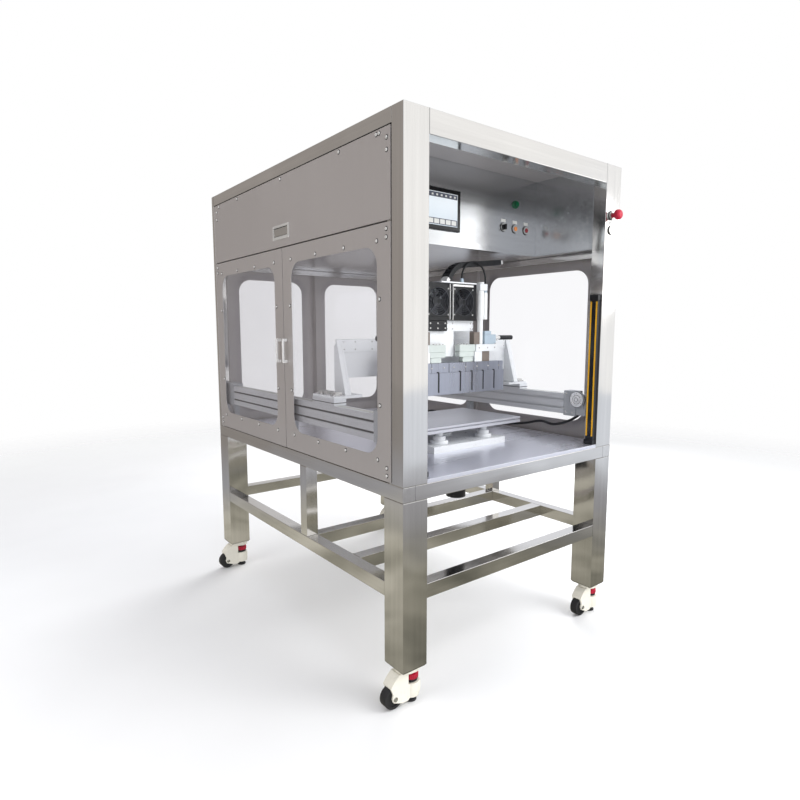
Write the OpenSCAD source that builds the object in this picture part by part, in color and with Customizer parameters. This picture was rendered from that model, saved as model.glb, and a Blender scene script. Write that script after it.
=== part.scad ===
// Enclosed capsule filling press: a stainless steel cabin on a wheeled stand, with hinged side
// and back doors, a gantry that slides front to back over a fixed platform, and a comb-shaped
// press bar that the gantry lowers onto the tray. Millimetres, +Z up, operator's side at -Y.
// The origin is on the floor, under the middle of the frame.

/* [Enclosure] */
// Width of the frame across the open front
width = 1130; // [1110:10:1200]
// Depth of the frame from front to back
depth = 1545; // [1525:5:1600]
// Height of the frame above the floor
height = 1900; // [1890:5:1950]
// Wall of the frame tubes
tube_wall = 2; // [1.5:0.5:3]
// Gap between frame tubes where they are welded
weld = 0.1; // [0.05:0.05:0.2]

/* [Stand] */
// Side of the square legs
leg = 100; // [90:5:110]
// Underside of the legs above the floor
leg_bottom = 138; // [138:1:142]
// Top face of the deck frame above the floor
deck_z = 755; // [755:5:770]
// Side of the square tubes in the deck and the lower rails
rail = 50; // [40:5:60]
// Top face of the lower rails above the floor
rail_top = 418; // [380:2:450]
// Front to back position of the front inner cross rail
front_cross_y = 318; // [280:1:340]
// Front to back position of the mid posts and the rear inner cross rail
mid_post_y = 625; // [580:5:680]

/* [Upper frame] */
// Depth of the wide front posts
front_post_d = 58; // [50:1:70]
// Side of the narrow rear posts across the machine
rear_post_w = 50; // [40:5:60]
// Depth of the narrow rear posts
rear_post_d = 25; // [20:1:40]
// Height of the front top beam
front_beam_h = 75; // [60:5:90]
// Height of the side and rear top beams
side_beam_h = 47; // [40:1:60]
// Underside of the inner header band above the floor
header_z = 1545; // [1540:1:1550]

/* [Doors] */
// Thickness of the folded door trays
leaf_d = 20; // [18:1:24]
// Sheet metal thickness of doors, flaps and panels
sheet = 2; // [1.5:0.5:2.5]
// Gap between a door and the frame beside it
edge_gap = 5; // [4:0.5:6]
// Gap between two doors that meet
meet_gap = 4; // [3:0.5:5]
// Width of the metal border around each window
stile = 72; // [60:1:80]
// Lower edge of the windows above the floor
window_z0 = 836; // [830:2:860]
// Upper edge of the windows above the floor
window_z1 = 1506; // [1480:2:1510]
// Corner radius of the windows
window_r = 65; // [40:5:70]
// Thickness of the acrylic panes
pane_d = 5; // [4:0.5:6]
// Distance of a hinge pin from the door's edge and its outer face
pivot_inset = 7; // [6.5:0.5:7.5]
// Radius of the hinge pins
pivot_r = 3.5; // [3:0.1:3.5]

/* [Working head] */
// Width of the comb-shaped press bar
press_w = 652; // [620:2:680]
// Height of the press bar's lower edge above the floor
press_z = 980; // [978:1:990]
// Distance of the press bar from the front face of the frame
press_y = 400; // [395:1:405]
// Distance between the two lift columns
column_pitch = 344; // [344:2:350]
// Height of the gantry's crossbeam top above the floor
beam_top = 1209; // [1205:1:1212]
// Height of the gantry's crossbeam
beam_h = 149; // [120:1:150]
// Rotor radius of the cooling fans
fan_r = 54; // [45:1:54]

/* [Platform] */
// Width of the platen that carries the capsule tray
platen_w = 578; // [500:2:600]
// Depth of the platen
platen_d = 358; // [300:2:380]
// Height of the platen's top face above the floor
platen_z = 873; // [870:1:880]

/* [Casters] */
// Radius of the caster wheels
wheel_r = 37.5; // [35:0.5:38]
// Width of the caster wheels
wheel_w = 30; // [26:1:32]
// Distance of the wheel's axle from the swivel axis
wheel_trail = 59; // [57:1:62]
// Distance of the levelling foot from the swivel axis
foot_offset = 21; // [20:1:22]
// Radius of the levelling foot's pad
pad_r = 21; // [18:1:22]

/* [Fits] */
// Radial clearance of pins and stems that turn or slide in a bore
fit = 0.05; // [0.02:0.01:0.08]

/* [Hidden] */
$fn = 48;
hw = width / 2;
hd = depth / 2;
front = -hd;
back = hd;
through = 1;

// Enclosure levels
deck_under = deck_z - rail;
floor_top = deck_z + 13;
header_top = header_z + 27;
beam_under = height - side_beam_h;
lower_rail_z = rail_top - rail;

// Room that the doors need inside the frame, and the header bands just inside it
door_room = 26;
inner_x = hw - door_room;
header_w = 20;
deck_cross_y = [242, 665];
roof_drop = 3;

// Door sizes: a side holds two doors, the back holds two narrower ones
bay_y0 = front + front_post_d + edge_gap;
bay_y1 = back - rear_post_d - edge_gap;
side_door_w = (bay_y1 - bay_y0 - meet_gap) / 2;
back_bay_x = hw - rear_post_w - edge_gap;
back_door_w = back_bay_x - meet_gap / 2;
door_z0 = deck_z + 3;
door_z1 = header_top - 1;
flap_z0 = header_top + 4;
flap_z1 = beam_under - 4;
flap_axis_z = flap_z1 - pivot_inset;
flap_w = bay_y1 - bay_y0;
pane_lap = 25;
pin_h = 15;
tab_half = 9;
tab_reach = 46;
tab_t = 3;

// Door handles
handle_z0 = 1112;
handle_l = 98;
handle_reach = 22;
handle_bar = 9;
handle_grip = 7;
handle_foot = 12;
handle_inset = 26;

// Flap latch: a flush plate with a paddle that tips about its top edge
latch_w = 143;
latch_h = 57;
latch_z0 = 1606;
latch_y = front + 722 + latch_w / 2;
latch_axis_z = latch_z0 + latch_h - 14;
latch_x = 4;
latch_rim = 8;
latch_t = 2;
cup_rim = latch_rim + 0.2;
cup_wall = 4;
cup_d = 16;
cup_pin_r = 1.5;
cup_pin_l = 6;

// Control panel
panel_y = front + 350;
panel_z0 = header_top + 0.5;
panel_z1 = height - 5;
panel_x = hw - leg;
screen_w = 222;
screen_h = 158;
screen_x = -119;
screen_z = 1708;
screen_rim = 8;
screen_body_x = 97;
screen_body_z = 67;
screen_body_d = 40;
control_z = 1679;
lamp_z = 1781;
selector_x = 250;
orange_x = 323;
red_x = 395;
cap_r = 9.5;
bezel_r = 17;
bezel_d = 6;
barrel_r = 11;
barrel_l = 34;

// Controls on the front of the right post
post_x = hw - 62;
estop_z = 1703;
white_z = 1645;
estop_r = 20;
estop_stop_r = 18;

// Light curtain bars
curtain_w = 18;
curtain_d = 36;
curtain_z0 = 787;
curtain_z1 = 1365;
curtain_cap = 23;
curtain_left_y = 22;
curtain_right_y = 8;

// Linear modules along both sides
module_x0 = hw - 68;
module_w = 45;
module_z0 = 875;
module_h = 90;
module_y0 = front + 190;
module_y1 = front + 1400;
groove_z = [22, 60];
groove_h = 8;
outer_groove_d = 3;
end_y0 = front + 76;
end_y1 = front + 1496;
pulley_r = 38;
pulley_y = front + 118;
pulley_z = 945;
bracket_y = front + 780;

// Gantry, in its resting place
carriage_y0 = front + 440;
carriage_y1 = front + 600;
carriage_z1 = 990;
foot_plate_z1 = carriage_z1 + 10;
beam_y0 = front + 515;
beam_y1 = front + 560;
beam_x = 460;
gusset_t = 8;
head_y = front + press_y;
plate_y1 = beam_y0 + 12;
plate_x = 225;
flange_w = 18;
flange_y0 = front + 450;
arm_z0 = 1412;
arm_h = 28;
arm_half = 22;
fan_x = 70;
fan_z = 1360;
fan_box_w = 298;
fan_box_h = 152;
fan_box_y0 = head_y + 2;
fan_box_d = 38;
fan_box_z0 = fan_z - fan_box_h / 2;
fan_box_z1 = fan_z + fan_box_h / 2;
column_x = column_pitch / 2;
barrel_out_r = 15;
rod_r = 12;
barrel_z0 = 1290;
barrel_z1 = 1448;
sensor_z0 = 1290;
sensor_z1 = 1405;
rail_z0 = 1154;
rail_z1 = 1184;

// Press bar
comb_x = -24;
comb_z1 = press_z + 90;
bar_z1 = press_z + 130;
centre_tooth = 122;
tooth_pitch = 68;
slot_w = 8;
slot_count = 4;

// Energy chain: it rises from the head, turns and runs sideways under the shelf
chain_foot_x0 = -60;
chain_foot_x1 = 140;
chain_t = 24;
chain_w = 44;
chain_turn = 100;
chain_rise = 52;
chain_slope = 6.5;
chain_low = 120;
chain_steps = 12;
chain_cx = 94;
chain_cz = 1417;
chain_end_x = 330;
chain_z0 = fan_box_z1 + 6;
chain_y0 = head_y + 6;

// Air hose: a half loop over the right lift cylinder
hose_r = 4;
hose_bend = 70;
hose_x0 = 60;
hose_bend_z = 1460;

// Platform
base_x = 201;
base_y0 = front + 270;
base_y1 = front + 665;
base_z1 = floor_top + 27;
base_sheet = 3;
pillar_spots = [[-125, 326], [125, 326], [-125, 608], [125, 608]];
pillar_r = 35;
middle_pillar_r = 55;
platen_under = platen_z - 24;
platen_y0 = front + 262;

// Casters
caster_spots = [[-1, -1], [1, -1], [-1, 1], [1, 1]];
caster_names = ["front_left", "front_right", "rear_left", "rear_right"];
axle_z = wheel_r + 3;
axle_r = 5;
cheek_y = wheel_w / 2 + 0.8;
cheek_t = 7;
kingpin_r = 9;
swivel_z0 = 116;
swivel_z1 = leg_bottom - 5.5;
boss_r = 30;
boss_z0 = 22;
window_cut_z0 = 71.5;
window_cut_z1 = 110.5;
hub_z0 = 73;
thumb_z0 = 82;
thumb_z1 = 101;
thumb_r = 27;
stem_r = 7;

// ---------------------------------------------------------------- helpers

// A box given by its lowest and highest corners
module block(lo, hi) {
    translate(lo) cube(hi - lo);
}

// A square or rectangular tube along the axis with index `along`, open unless its far end is closed
module tube(lo, hi, along, closed = false) {
    inset = [for (i = [0:2]) i == along ? -through : tube_wall];
    end = [for (i = [0:2]) i == along && closed ? through + tube_wall : 0];
    difference() {
        block(lo, hi);
        block(lo + inset, hi - inset - end);
    }
}

module both_sides() {
    for (side = [0, 1]) mirror([side, 0, 0]) children();
}

// A cylinder along Y that starts at y0
module rod_y(x, y0, z, r, length) {
    translate([x, y0, z]) rotate([-90, 0, 0]) cylinder(r = r, h = length);
}

module rounded_outline(w, h, r) {
    for (x = [r, w - r]) for (y = [r, h - r]) translate([x, y]) circle(r = r);
    translate([r, 0]) square([w - 2 * r, h]);
    translate([0, r]) square([w, h - 2 * r]);
}

// ---------------------------------------------------------------- stand

module legs() {
    color("silver")
    for (sx = [-1, 1]) for (sy = [-1, 1]) {
        corner = [sx * (hw - leg / 2) - leg / 2, sy * (hd - leg / 2) - leg / 2, leg_bottom];
        tube(corner, corner + [leg, leg, deck_under - leg_bottom - weld], 2);
    }
}

module deck_frame() {
    color("silver") {
        both_sides() {
            cap_y = front + tube_wall;
            block([-hw, front, deck_under], [-hw + rail, cap_y, deck_z]);
            tube([-hw, cap_y + weld, deck_under], [-hw + rail, back, deck_z], 1, closed = true);
        }
        for (y = [front, front + deck_cross_y[0], front + deck_cross_y[1], back - rail])
            tube([-hw + rail + weld, y, deck_under], [hw - rail - weld, y + rail, deck_z], 0);
    }
}

module lower_rails() {
    end = leg + weld;
    color("silver") {
        both_sides() {
            tube([-hw, front + end, lower_rail_z], [-hw + rail, back - end, rail_top], 1);
            tube([-hw, front + mid_post_y, rail_top + weld],
                 [-hw + rail, front + mid_post_y + rail, deck_under - weld], 2);
        }
        for (y = [front, back - rail])
            tube([-hw + end, y, lower_rail_z], [hw - end, y + rail, rail_top], 0);
        for (y = [front_cross_y, mid_post_y])
            tube([-hw + rail + weld, front + y, lower_rail_z],
                 [hw - rail - weld, front + y + rail, rail_top], 0);
    }
}

// ---------------------------------------------------------------- enclosure

module front_post() {
    post_z0 = deck_z + weld;
    tube([-hw, front, post_z0], [-hw + leg, front + front_post_d, height], 2, closed = true);
}

module upper_frame() {
    color("silver") {
        front_post();
        difference() {
            mirror([1, 0, 0]) front_post();
            for (z = [estop_z, white_z])
                rod_y(post_x, front - through, z, barrel_r + 0.1, tube_wall + 2 * through);
        }
        both_sides() {
            tube([-hw, back - rear_post_d, deck_z + weld], [-hw + rear_post_w, back, height], 2,
                 closed = true);
            tube([-hw, front + front_post_d + weld, beam_under],
                 [-hw + rail, back - rear_post_d - weld, height], 1);
            tube([-inner_x, front + front_post_d + weld, header_z],
                 [-inner_x + header_w, back - rear_post_d - weld, header_top], 1);
        }
        tube([-hw + leg + weld, front, height - front_beam_h],
             [hw - leg - weld, front + front_post_d, height], 0);
        tube([-hw + rear_post_w + weld, back - rear_post_d, beam_under],
             [hw - rear_post_w - weld, back, height], 0);
        band_x = inner_x - header_w - weld;
        tube([-band_x, back - door_room - header_w, header_z],
             [band_x, back - door_room, header_top], 0);
    }
}

// A folded tray with its rim turned down over the deck frame, notched around the four posts
module floor_tray() {
    lip = 2;
    notch = 0.2;
    rear_y = back - rear_post_d - notch;
    color("lightgray")
    difference() {
        union() {
            block([-inner_x, front + front_post_d + notch, deck_z], [inner_x, rear_y, floor_top]);
            block([-hw + leg + notch, front + 1, deck_z],
                  [hw - leg - notch, front + front_post_d + through, floor_top]);
        }
        block([-inner_x + lip, front + front_post_d + notch + lip, deck_z - through],
              [inner_x - lip, rear_y - lip, floor_top - sheet]);
        block([-hw + leg + notch + lip, front + 1 + lip, deck_z - through],
              [hw - leg - notch - lip, front + front_post_d + lip + through, floor_top - sheet]);
    }
}

// Roof sheet between the top beams, and the folded panel above the back doors
module fixed_panels() {
    color("darkgray") {
        block([-hw + rail + weld, front + front_post_d + weld, height - roof_drop - sheet],
              [hw - rail - weld, back - rear_post_d - weld, height - roof_drop]);
        difference() {
            block([-back_bay_x, back - leaf_d, flap_z0], [back_bay_x, back, flap_z1]);
            block([-back_bay_x + sheet, back - leaf_d - through, flap_z0 + sheet],
                  [back_bay_x - sheet, back - sheet, flap_z1 - sheet]);
        }
    }
}

// Sender and receiver bars on the front posts; the left one sits further back
module light_curtains() {
    color("#26262a") {
        mirror([1, 0, 0]) light_curtain(front + curtain_left_y);
        light_curtain(front + curtain_right_y);
    }
}

module light_curtain(y0) {
    x1 = hw - leg;
    x0 = x1 - curtain_w;
    y1 = y0 + curtain_d;
    block([x0, y0, curtain_z0], [x1, y1, curtain_z1]);
    block([x0 - 4, y0 - 2, floor_top], [x1, y1 + 4, curtain_z0 - weld]);
    block([x0 - 2, y0 - 2, curtain_z1 + weld], [x1, y1 + 2, curtain_z1 + curtain_cap]);
}

// ---------------------------------------------------------------- doors and flaps
// A leaf is drawn with its hinge edge at x = 0, its outer face at y = 0 and its inside towards +y.

module leaf_tray(w, z0, z1) {
    difference() {
        block([0, 0, z0], [w, leaf_d, z1]);
        block([sheet, sheet, z0 + sheet], [w - sheet, leaf_d + through, z1 - sheet]);
    }
}

module window_cut(w, grow, y0, y1) {
    translate([stile - grow, y1, window_z0 - grow]) rotate([90, 0, 0])
        linear_extrude(y1 - y0)
            rounded_outline(w - 2 * stile + 2 * grow, window_z1 - window_z0 + 2 * grow,
                            window_r + grow / 2);
}

module door_handle(w) {
    x = w - handle_inset;
    half = handle_bar / 2;
    difference() {
        block([x - half, -handle_reach, handle_z0], [x + half, -0.01, handle_z0 + handle_l]);
        block([x - half - through, -handle_reach + handle_grip, handle_z0 + handle_foot],
              [x + half + through, through, handle_z0 + handle_l - handle_foot]);
    }
}

module door_leaf(w) {
    color("#a0988f") {
        difference() {
            leaf_tray(w, door_z0, door_z1);
            window_cut(w, 0, -through, sheet + through);
            translate([pivot_inset, pivot_inset, door_z0 - through])
                cylinder(r = pivot_r + fit, h = door_z1 - door_z0 + 2 * through);
        }
        door_handle(w);
    }
}

module door_pane(w) {
    color("#cfe6ee", 0.35) window_cut(w, pane_lap, sheet, sheet + pane_d);
}

// Places a leaf on the left side, at the front or the rear, or in the left half of the back
module place_left_front() {
    translate([-hw, bay_y0, 0]) mirror([1, -1, 0]) children();
}

module place_left_rear() {
    translate([-hw, bay_y1, 0]) rotate(-90) children();
}

module place_back_left() {
    translate([-back_bay_x, back, 0]) mirror([0, 1, 0]) children();
}

module flap_leaf() {
    half = latch_w / 2;
    latch_z1 = latch_z0 + latch_h;
    hollow = latch_rim + cup_wall;
    color("#a0988f")
    difference() {
        translate([-hw, bay_y0, 0]) mirror([1, -1, 0]) leaf_tray(flap_w, flap_z0, flap_z1);
        block([-hw - through, latch_y - half + latch_rim, latch_z0 + latch_rim],
              [-hw + sheet + through, latch_y + half - latch_rim, latch_z1 - latch_rim]);
        rod_y(-hw + pivot_inset, bay_y0 - through, flap_axis_z, pivot_r + fit, flap_w + 2 * through);
    }
    // Latch plate, proud of the flap, with a shallow cup behind it for the fingers
    color("gainsboro")
    difference() {
        union() {
            block([-hw - latch_t, latch_y - half, latch_z0],
                  [-hw - 0.01, latch_y + half, latch_z1]);
            block([-hw - latch_t, latch_y - half + cup_rim, latch_z0 + cup_rim],
                  [-hw + cup_d, latch_y + half - cup_rim, latch_z1 - cup_rim]);
        }
        block([-hw - latch_t - through, latch_y - half + hollow, latch_z0 + hollow],
              [-hw + cup_d - sheet, latch_y + half - hollow, latch_z1 - cup_rim - 1.3]);
    }
    // Pins that the paddle turns on, in the cup's two end walls
    color("gainsboro")
    for (end = [-1, 1]) {
        y = latch_y + end * (half - hollow);
        rod_y(-hw + latch_x, min(y, y - end * cup_pin_l), latch_axis_z, cup_pin_r, cup_pin_l);
    }
}

module latch_paddle() {
    half = latch_w / 2 - 13;
    color("silver")
    difference() {
        union() {
            rod_y(-hw + latch_x, latch_y - half, latch_axis_z, 3, 2 * half);
            block([-hw - 1, latch_y - half, latch_z0 + 14],
                  [-hw + 2, latch_y + half, latch_axis_z]);
        }
        rod_y(-hw + latch_x, latch_y - half - through, latch_axis_z, cup_pin_r + fit,
              2 * (half + through));
    }
}

module door_pivots() {
    color("silver")
    both_sides() {
        for (y = [bay_y0 + pivot_inset, bay_y1 - pivot_inset])
            pivot_pair(-hw + pivot_inset, y, [-hw + 0.5, y - tab_half],
                       [-hw + tab_reach, y + tab_half]);
        pivot_pair(-back_bay_x + pivot_inset, back - pivot_inset,
                   [-back_bay_x + pivot_inset - tab_half, back - tab_reach],
                   [-back_bay_x + pivot_inset + tab_half, back - 0.5]);
        rod_y(-hw + pivot_inset, front + front_post_d, flap_axis_z, pivot_r, pin_h);
        rod_y(-hw + pivot_inset, back - rear_post_d - pin_h, flap_axis_z, pivot_r, pin_h);
    }
}

// A bottom pin that stands on the deck, and a tab on the header that holds the top pin
module pivot_pair(x, y, tab_lo, tab_hi) {
    translate([x, y, deck_z]) cylinder(r = pivot_r, h = pin_h);
    difference() {
        translate([x, y, deck_z]) cylinder(r = 2 * pivot_r, h = 2.5);
        translate([x, y, deck_z - through]) cylinder(r = pivot_r + 0.2, h = 5);
    }
    translate([x, y, header_top - pin_h]) cylinder(r = pivot_r, h = pin_h + 1);
    block([tab_lo.x, tab_lo.y, header_top], [tab_hi.x, tab_hi.y, header_top + tab_t]);
}

// ---------------------------------------------------------------- controls

module control_panel() {
    color("#9aa0a4") {
        difference() {
            block([-panel_x, panel_y, panel_z0], [panel_x, panel_y + sheet, panel_z1]);
            block([screen_x - screen_body_x - 1, panel_y - through, screen_z - screen_body_z - 1],
                  [screen_x + screen_body_x + 1, panel_y + sheet + through,
                   screen_z + screen_body_z + 1]);
            for (x = [selector_x, orange_x, red_x])
                rod_y(x, panel_y - through, control_z, barrel_r + 0.1, sheet + 2 * through);
            rod_y(orange_x, panel_y - through, lamp_z, barrel_r + 0.1, sheet + 2 * through);
        }
        shelf();
        both_sides()
            block([panel_x + weld, front + front_post_d + weld, panel_z0 + sheet + weld],
                  [panel_x + weld + sheet, panel_y + sheet, panel_z1]);
    }
}

// Shelf behind the panel, with a strip under the liner on each side
module shelf() {
    x = hw - 48;
    y0 = panel_y + sheet + weld;
    block([-x, y0, panel_z0], [x, back - 50, panel_z0 + sheet]);
    both_sides()
        block([panel_x + weld, front + front_post_d + weld, panel_z0],
              [x, y0 + through, panel_z0 + sheet]);
}

module touch_screen() {
    color("#1c1d20") {
        block([screen_x - screen_w / 2, panel_y - screen_rim, screen_z - screen_h / 2],
              [screen_x + screen_w / 2, panel_y - 0.01, screen_z + screen_h / 2]);
        block([screen_x - screen_body_x, panel_y - 0.1, screen_z - screen_body_z],
              [screen_x + screen_body_x, panel_y + screen_body_d, screen_z + screen_body_z]);
    }
}

module pilot_lamp() {
    color("#0c5a34") {
        rod_y(orange_x, panel_y - 5, lamp_z, bezel_r, 5);
        rod_y(orange_x, panel_y - 14, lamp_z, 11.5, 9.5);
        rod_y(orange_x, panel_y - 0.5, lamp_z, barrel_r, barrel_l);
    }
}

// A round bezel with a threaded barrel behind it, at the origin and facing -y
module bezel(ring_r, ring_d, bore_r) {
    difference() {
        union() {
            rod_y(0, -ring_d, 0, ring_r, ring_d);
            rod_y(0, -0.5, 0, barrel_r, barrel_l);
        }
        rod_y(0, -ring_d - through, 0, bore_r, ring_d + through + barrel_l - 4);
    }
}

module control_bezels() {
    color("silver") {
        for (x = [selector_x, orange_x, red_x])
            translate([x, panel_y, control_z]) bezel(bezel_r, bezel_d, cap_r + fit);
        translate([post_x, front, white_z]) bezel(bezel_r, bezel_d, cap_r + fit);
        translate([post_x, front, estop_z]) bezel(estop_stop_r, 10, cap_r + fit);
    }
}

module push_button(x, y, z, tint) {
    color(tint) rod_y(x, y - bezel_d - 3, z, cap_r, 24);
}

// A mushroom head on a neck that slides in the bezel
module estop_button() {
    color("#c4242b") {
        rod_y(post_x, front - 45, estop_z, 16, 6.1);
        rod_y(post_x, front - 39, estop_z, estop_r, 16);
        rod_y(post_x, front - 23.1, estop_z, cap_r, 36);
    }
}

module selector_switch() {
    color("#17181a") {
        rod_y(selector_x, panel_y - bezel_d - 3, control_z, cap_r, 24);
        block([selector_x - 3, panel_y - bezel_d - 14, control_z - 11],
              [selector_x + 3, panel_y - bezel_d - 2.9, control_z + 11]);
    }
}

// ---------------------------------------------------------------- motion system

// Grooved aluminium extrusions that carry the gantry, one along each side
module module_profiles() {
    x1 = module_x0 + module_w;
    y0 = module_y0 - through;
    y1 = module_y1 + through;
    color("#b4b8bb")
    both_sides() difference() {
        block([module_x0, module_y0, module_z0], [x1, module_y1, module_z0 + module_h]);
        for (groove = groove_z) {
            z0 = module_z0 + groove;
            z1 = z0 + groove_h;
            block([module_x0 - through, y0, z0], [module_x0 + 6, y1, z1]);
            block([module_x0 + 4, y0, z0 - 5], [module_x0 + 9, y1, z1 + 5]);
            block([x1 - outer_groove_d, y0, z0], [x1 + through, y1, z1]);
        }
        block([module_x0 + 14, y0, module_z0 + 8], [x1 - 5, y1, module_z0 + module_h - 12]);
    }
}

// Belt pulley housings on both ends of each profile, and the brackets under it
module module_ends() {
    x0 = module_x0 - 4;
    x1 = module_x0 + module_w;
    z0 = module_z0 - 6;
    z1 = module_z0 + module_h + 14;
    foot_z = floor_top + 8;
    color("#8d9194")
    both_sides() {
        block([x0, pulley_y + 10, z0], [x1, module_y0 - weld, z1]);
        block([module_x0, end_y0 + 4, module_z0], [x1, pulley_y + 10 - weld, z1 - 18]);
        // Round cover of the belt pulley, on the inner side
        translate([x0 - 9, pulley_y, pulley_z]) rotate([0, 90, 0])
            cylinder(r = pulley_r, h = 9 - weld);
        block([x0 + weld, end_y0 + 12, module_z0 + 30],
              [module_x0 - weld, pulley_y + 10 - weld, z1 - 26]);
        block([x0, module_y1 + weld, z0], [x1, end_y1, z1]);
        for (y = [bracket_y, module_y1 + 10]) {
            block([x0 + 8, y, floor_top], [x1, y + 46, foot_z]);
            block([x0 + 14, y + 8, foot_z + weld], [x1 - 10, y + 38, z0 - weld]);
        }
    }
}

module gantry_carriages() {
    color("#222326")
    both_sides()
        block([module_x0 - 8, carriage_y0, module_z0 + module_h + 0.3],
              [hw - 22, carriage_y1, carriage_z1]);
}

module gusset_outline() {
    polygon([
        [beam_y1 - 2, foot_plate_z1], [beam_y1 - 2, beam_top - 26], [beam_y0 + 6, beam_top],
        [beam_y0 - 4, beam_top], [flange_y0, foot_plate_z1]
    ]);
}

module gantry_beam() {
    color("#e6e8ea") {
        tube([-beam_x, beam_y0, beam_top - beam_h], [beam_x, beam_y1, beam_top], 0);
        block([-beam_x, beam_y0 - 3, beam_top - 50], [beam_x, beam_y0 - weld, beam_top - 1]);
        both_sides() {
            translate([beam_x + weld, 0, 0]) rotate([90, 0, 90])
                linear_extrude(gusset_t) gusset_outline();
            // Diagonal flange along the front of the gusset
            translate([beam_x + gusset_t + 2 * weld, 0, 0]) rotate([90, 0, 90])
                linear_extrude(flange_w) polygon([
                    [flange_y0, foot_plate_z1], [flange_y0 + 6, foot_plate_z1],
                    [beam_y0 + 2, beam_top], [beam_y0 - 4, beam_top]
                ]);
            block([beam_x - 45, carriage_y0 + 2, carriage_z1],
                  [hw - 24, carriage_y1, foot_plate_z1 - weld]);
        }
        // Back plate that stands on the crossbeam, and the plates of the head in front of it
        block([-plate_x, beam_y0, beam_top + weld], [plate_x, plate_y1, fan_box_z1]);
        block([-110, head_y + 22, rail_z0 - 20], [38, head_y + 32, 1240]);
        block([-155, head_y + 22, 1240.1], [152, head_y + 32, fan_box_z0 - weld]);
        for (x = [-100, 16])
            block([x, head_y + 32.1, rail_z0 - 10], [x + 12, beam_y0 - 3.1, 1200]);
        for (x = [-140, 128])
            block([x, head_y + 32.1, 1244], [x + 12, beam_y0 - weld, 1276]);
        // Arms that clamp the two lift cylinders
        both_sides() difference() {
            block([column_x - arm_half, head_y - 20, arm_z0],
                  [column_x + arm_half, beam_y0 - weld, arm_z0 + arm_h]);
            translate([column_x, head_y, arm_z0 - through])
                cylinder(r = barrel_out_r, h = arm_h + 2 * through);
        }
        // Bracket on top for the cable chain
        block([chain_foot_x0, head_y - 8, fan_box_z1 + weld],
              [chain_foot_x1, plate_y1, chain_z0 - weld]);
    }
}

module fan_box() {
    y1 = fan_box_y0 + fan_box_d;
    color("#1b1c1f") {
        difference() {
            block([-fan_box_w / 2, fan_box_y0, fan_box_z0], [fan_box_w / 2, y1, fan_box_z1]);
            for (x = [-fan_x, fan_x]) rod_y(x, fan_box_y0 - through, fan_z, fan_r + 4, fan_box_d + 2);
        }
        // Struts and the fixed stator that each rotor turns on
        for (x = [-fan_x, fan_x]) {
            rod_y(x, y1 - 10, fan_z, 20, 9);
            rod_y(x, fan_box_y0 + 4, fan_z, 4, fan_box_d - 12);
            for (a = [45, 135])
                translate([x, y1 - 3, fan_z]) rotate([0, a, 0])
                    cube([2 * fan_r + 9, 4, 5], center = true);
        }
        for (x = [-fan_box_w / 2 + 8, fan_box_w / 2 - 20])
            block([x, y1 + weld, fan_box_z0 + 8], [x + 12, beam_y0 - weld, fan_box_z1 - 8]);
    }
}

module fan_rotor(x) {
    blades = 7;
    color("#303236")
    translate([x, fan_box_y0 + 6, fan_z]) rotate([-90, 0, 0]) difference() {
        union() {
            cylinder(r = 21, h = 20);
            for (i = [0:blades - 1])
                rotate(i * 360 / blades) translate([0, 0, 10]) rotate([35, 0, 0])
                    translate([12, -13, -1]) cube([fan_r - 16, 26, 2]);
        }
        translate([0, 0, -through]) cylinder(r = 4 + fit, h = 22);
    }
}

// Barrels that guide the lifting rods, each with a flat sensor rail beside it
module lift_cylinders() {
    color("#f0f1f2")
    both_sides() {
        difference() {
            translate([column_x, head_y, barrel_z0]) cylinder(r = barrel_out_r, h = barrel_z1 - barrel_z0);
            translate([column_x, head_y, barrel_z0 - through])
                cylinder(r = rod_r + fit, h = barrel_z1 - barrel_z0 + 2 * through);
        }
        block([column_x + barrel_out_r + 1.5, head_y - 9, sensor_z0],
              [column_x + barrel_out_r + 19, head_y + 9, sensor_z1]);
    }
}

// A comb of fingers under a rail, the clamp rails above it, and the two lifting rods
module press_bar() {
    color("#b9c0cc") {
        comb();
        both_sides() clamp();
    }
}

module comb() {
    y0 = head_y - 24;
    first = centre_tooth / 2;
    translate([comb_x, 0, 0]) difference() {
        union() {
            block([-press_w / 2, y0, press_z], [press_w / 2, head_y + 19, comb_z1]);
            block([-press_w / 2, y0 + 6, comb_z1 - through], [press_w / 2, head_y + 19, bar_z1]);
        }
        for (side = [-1, 1]) for (i = [0:slot_count - 1])
            block([side * (first + i * tooth_pitch) - slot_w / 2, y0 - through, press_z + 10],
                  [side * (first + i * tooth_pitch) + slot_w / 2, y0 + 22, comb_z1 + 4]);
    }
}

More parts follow.
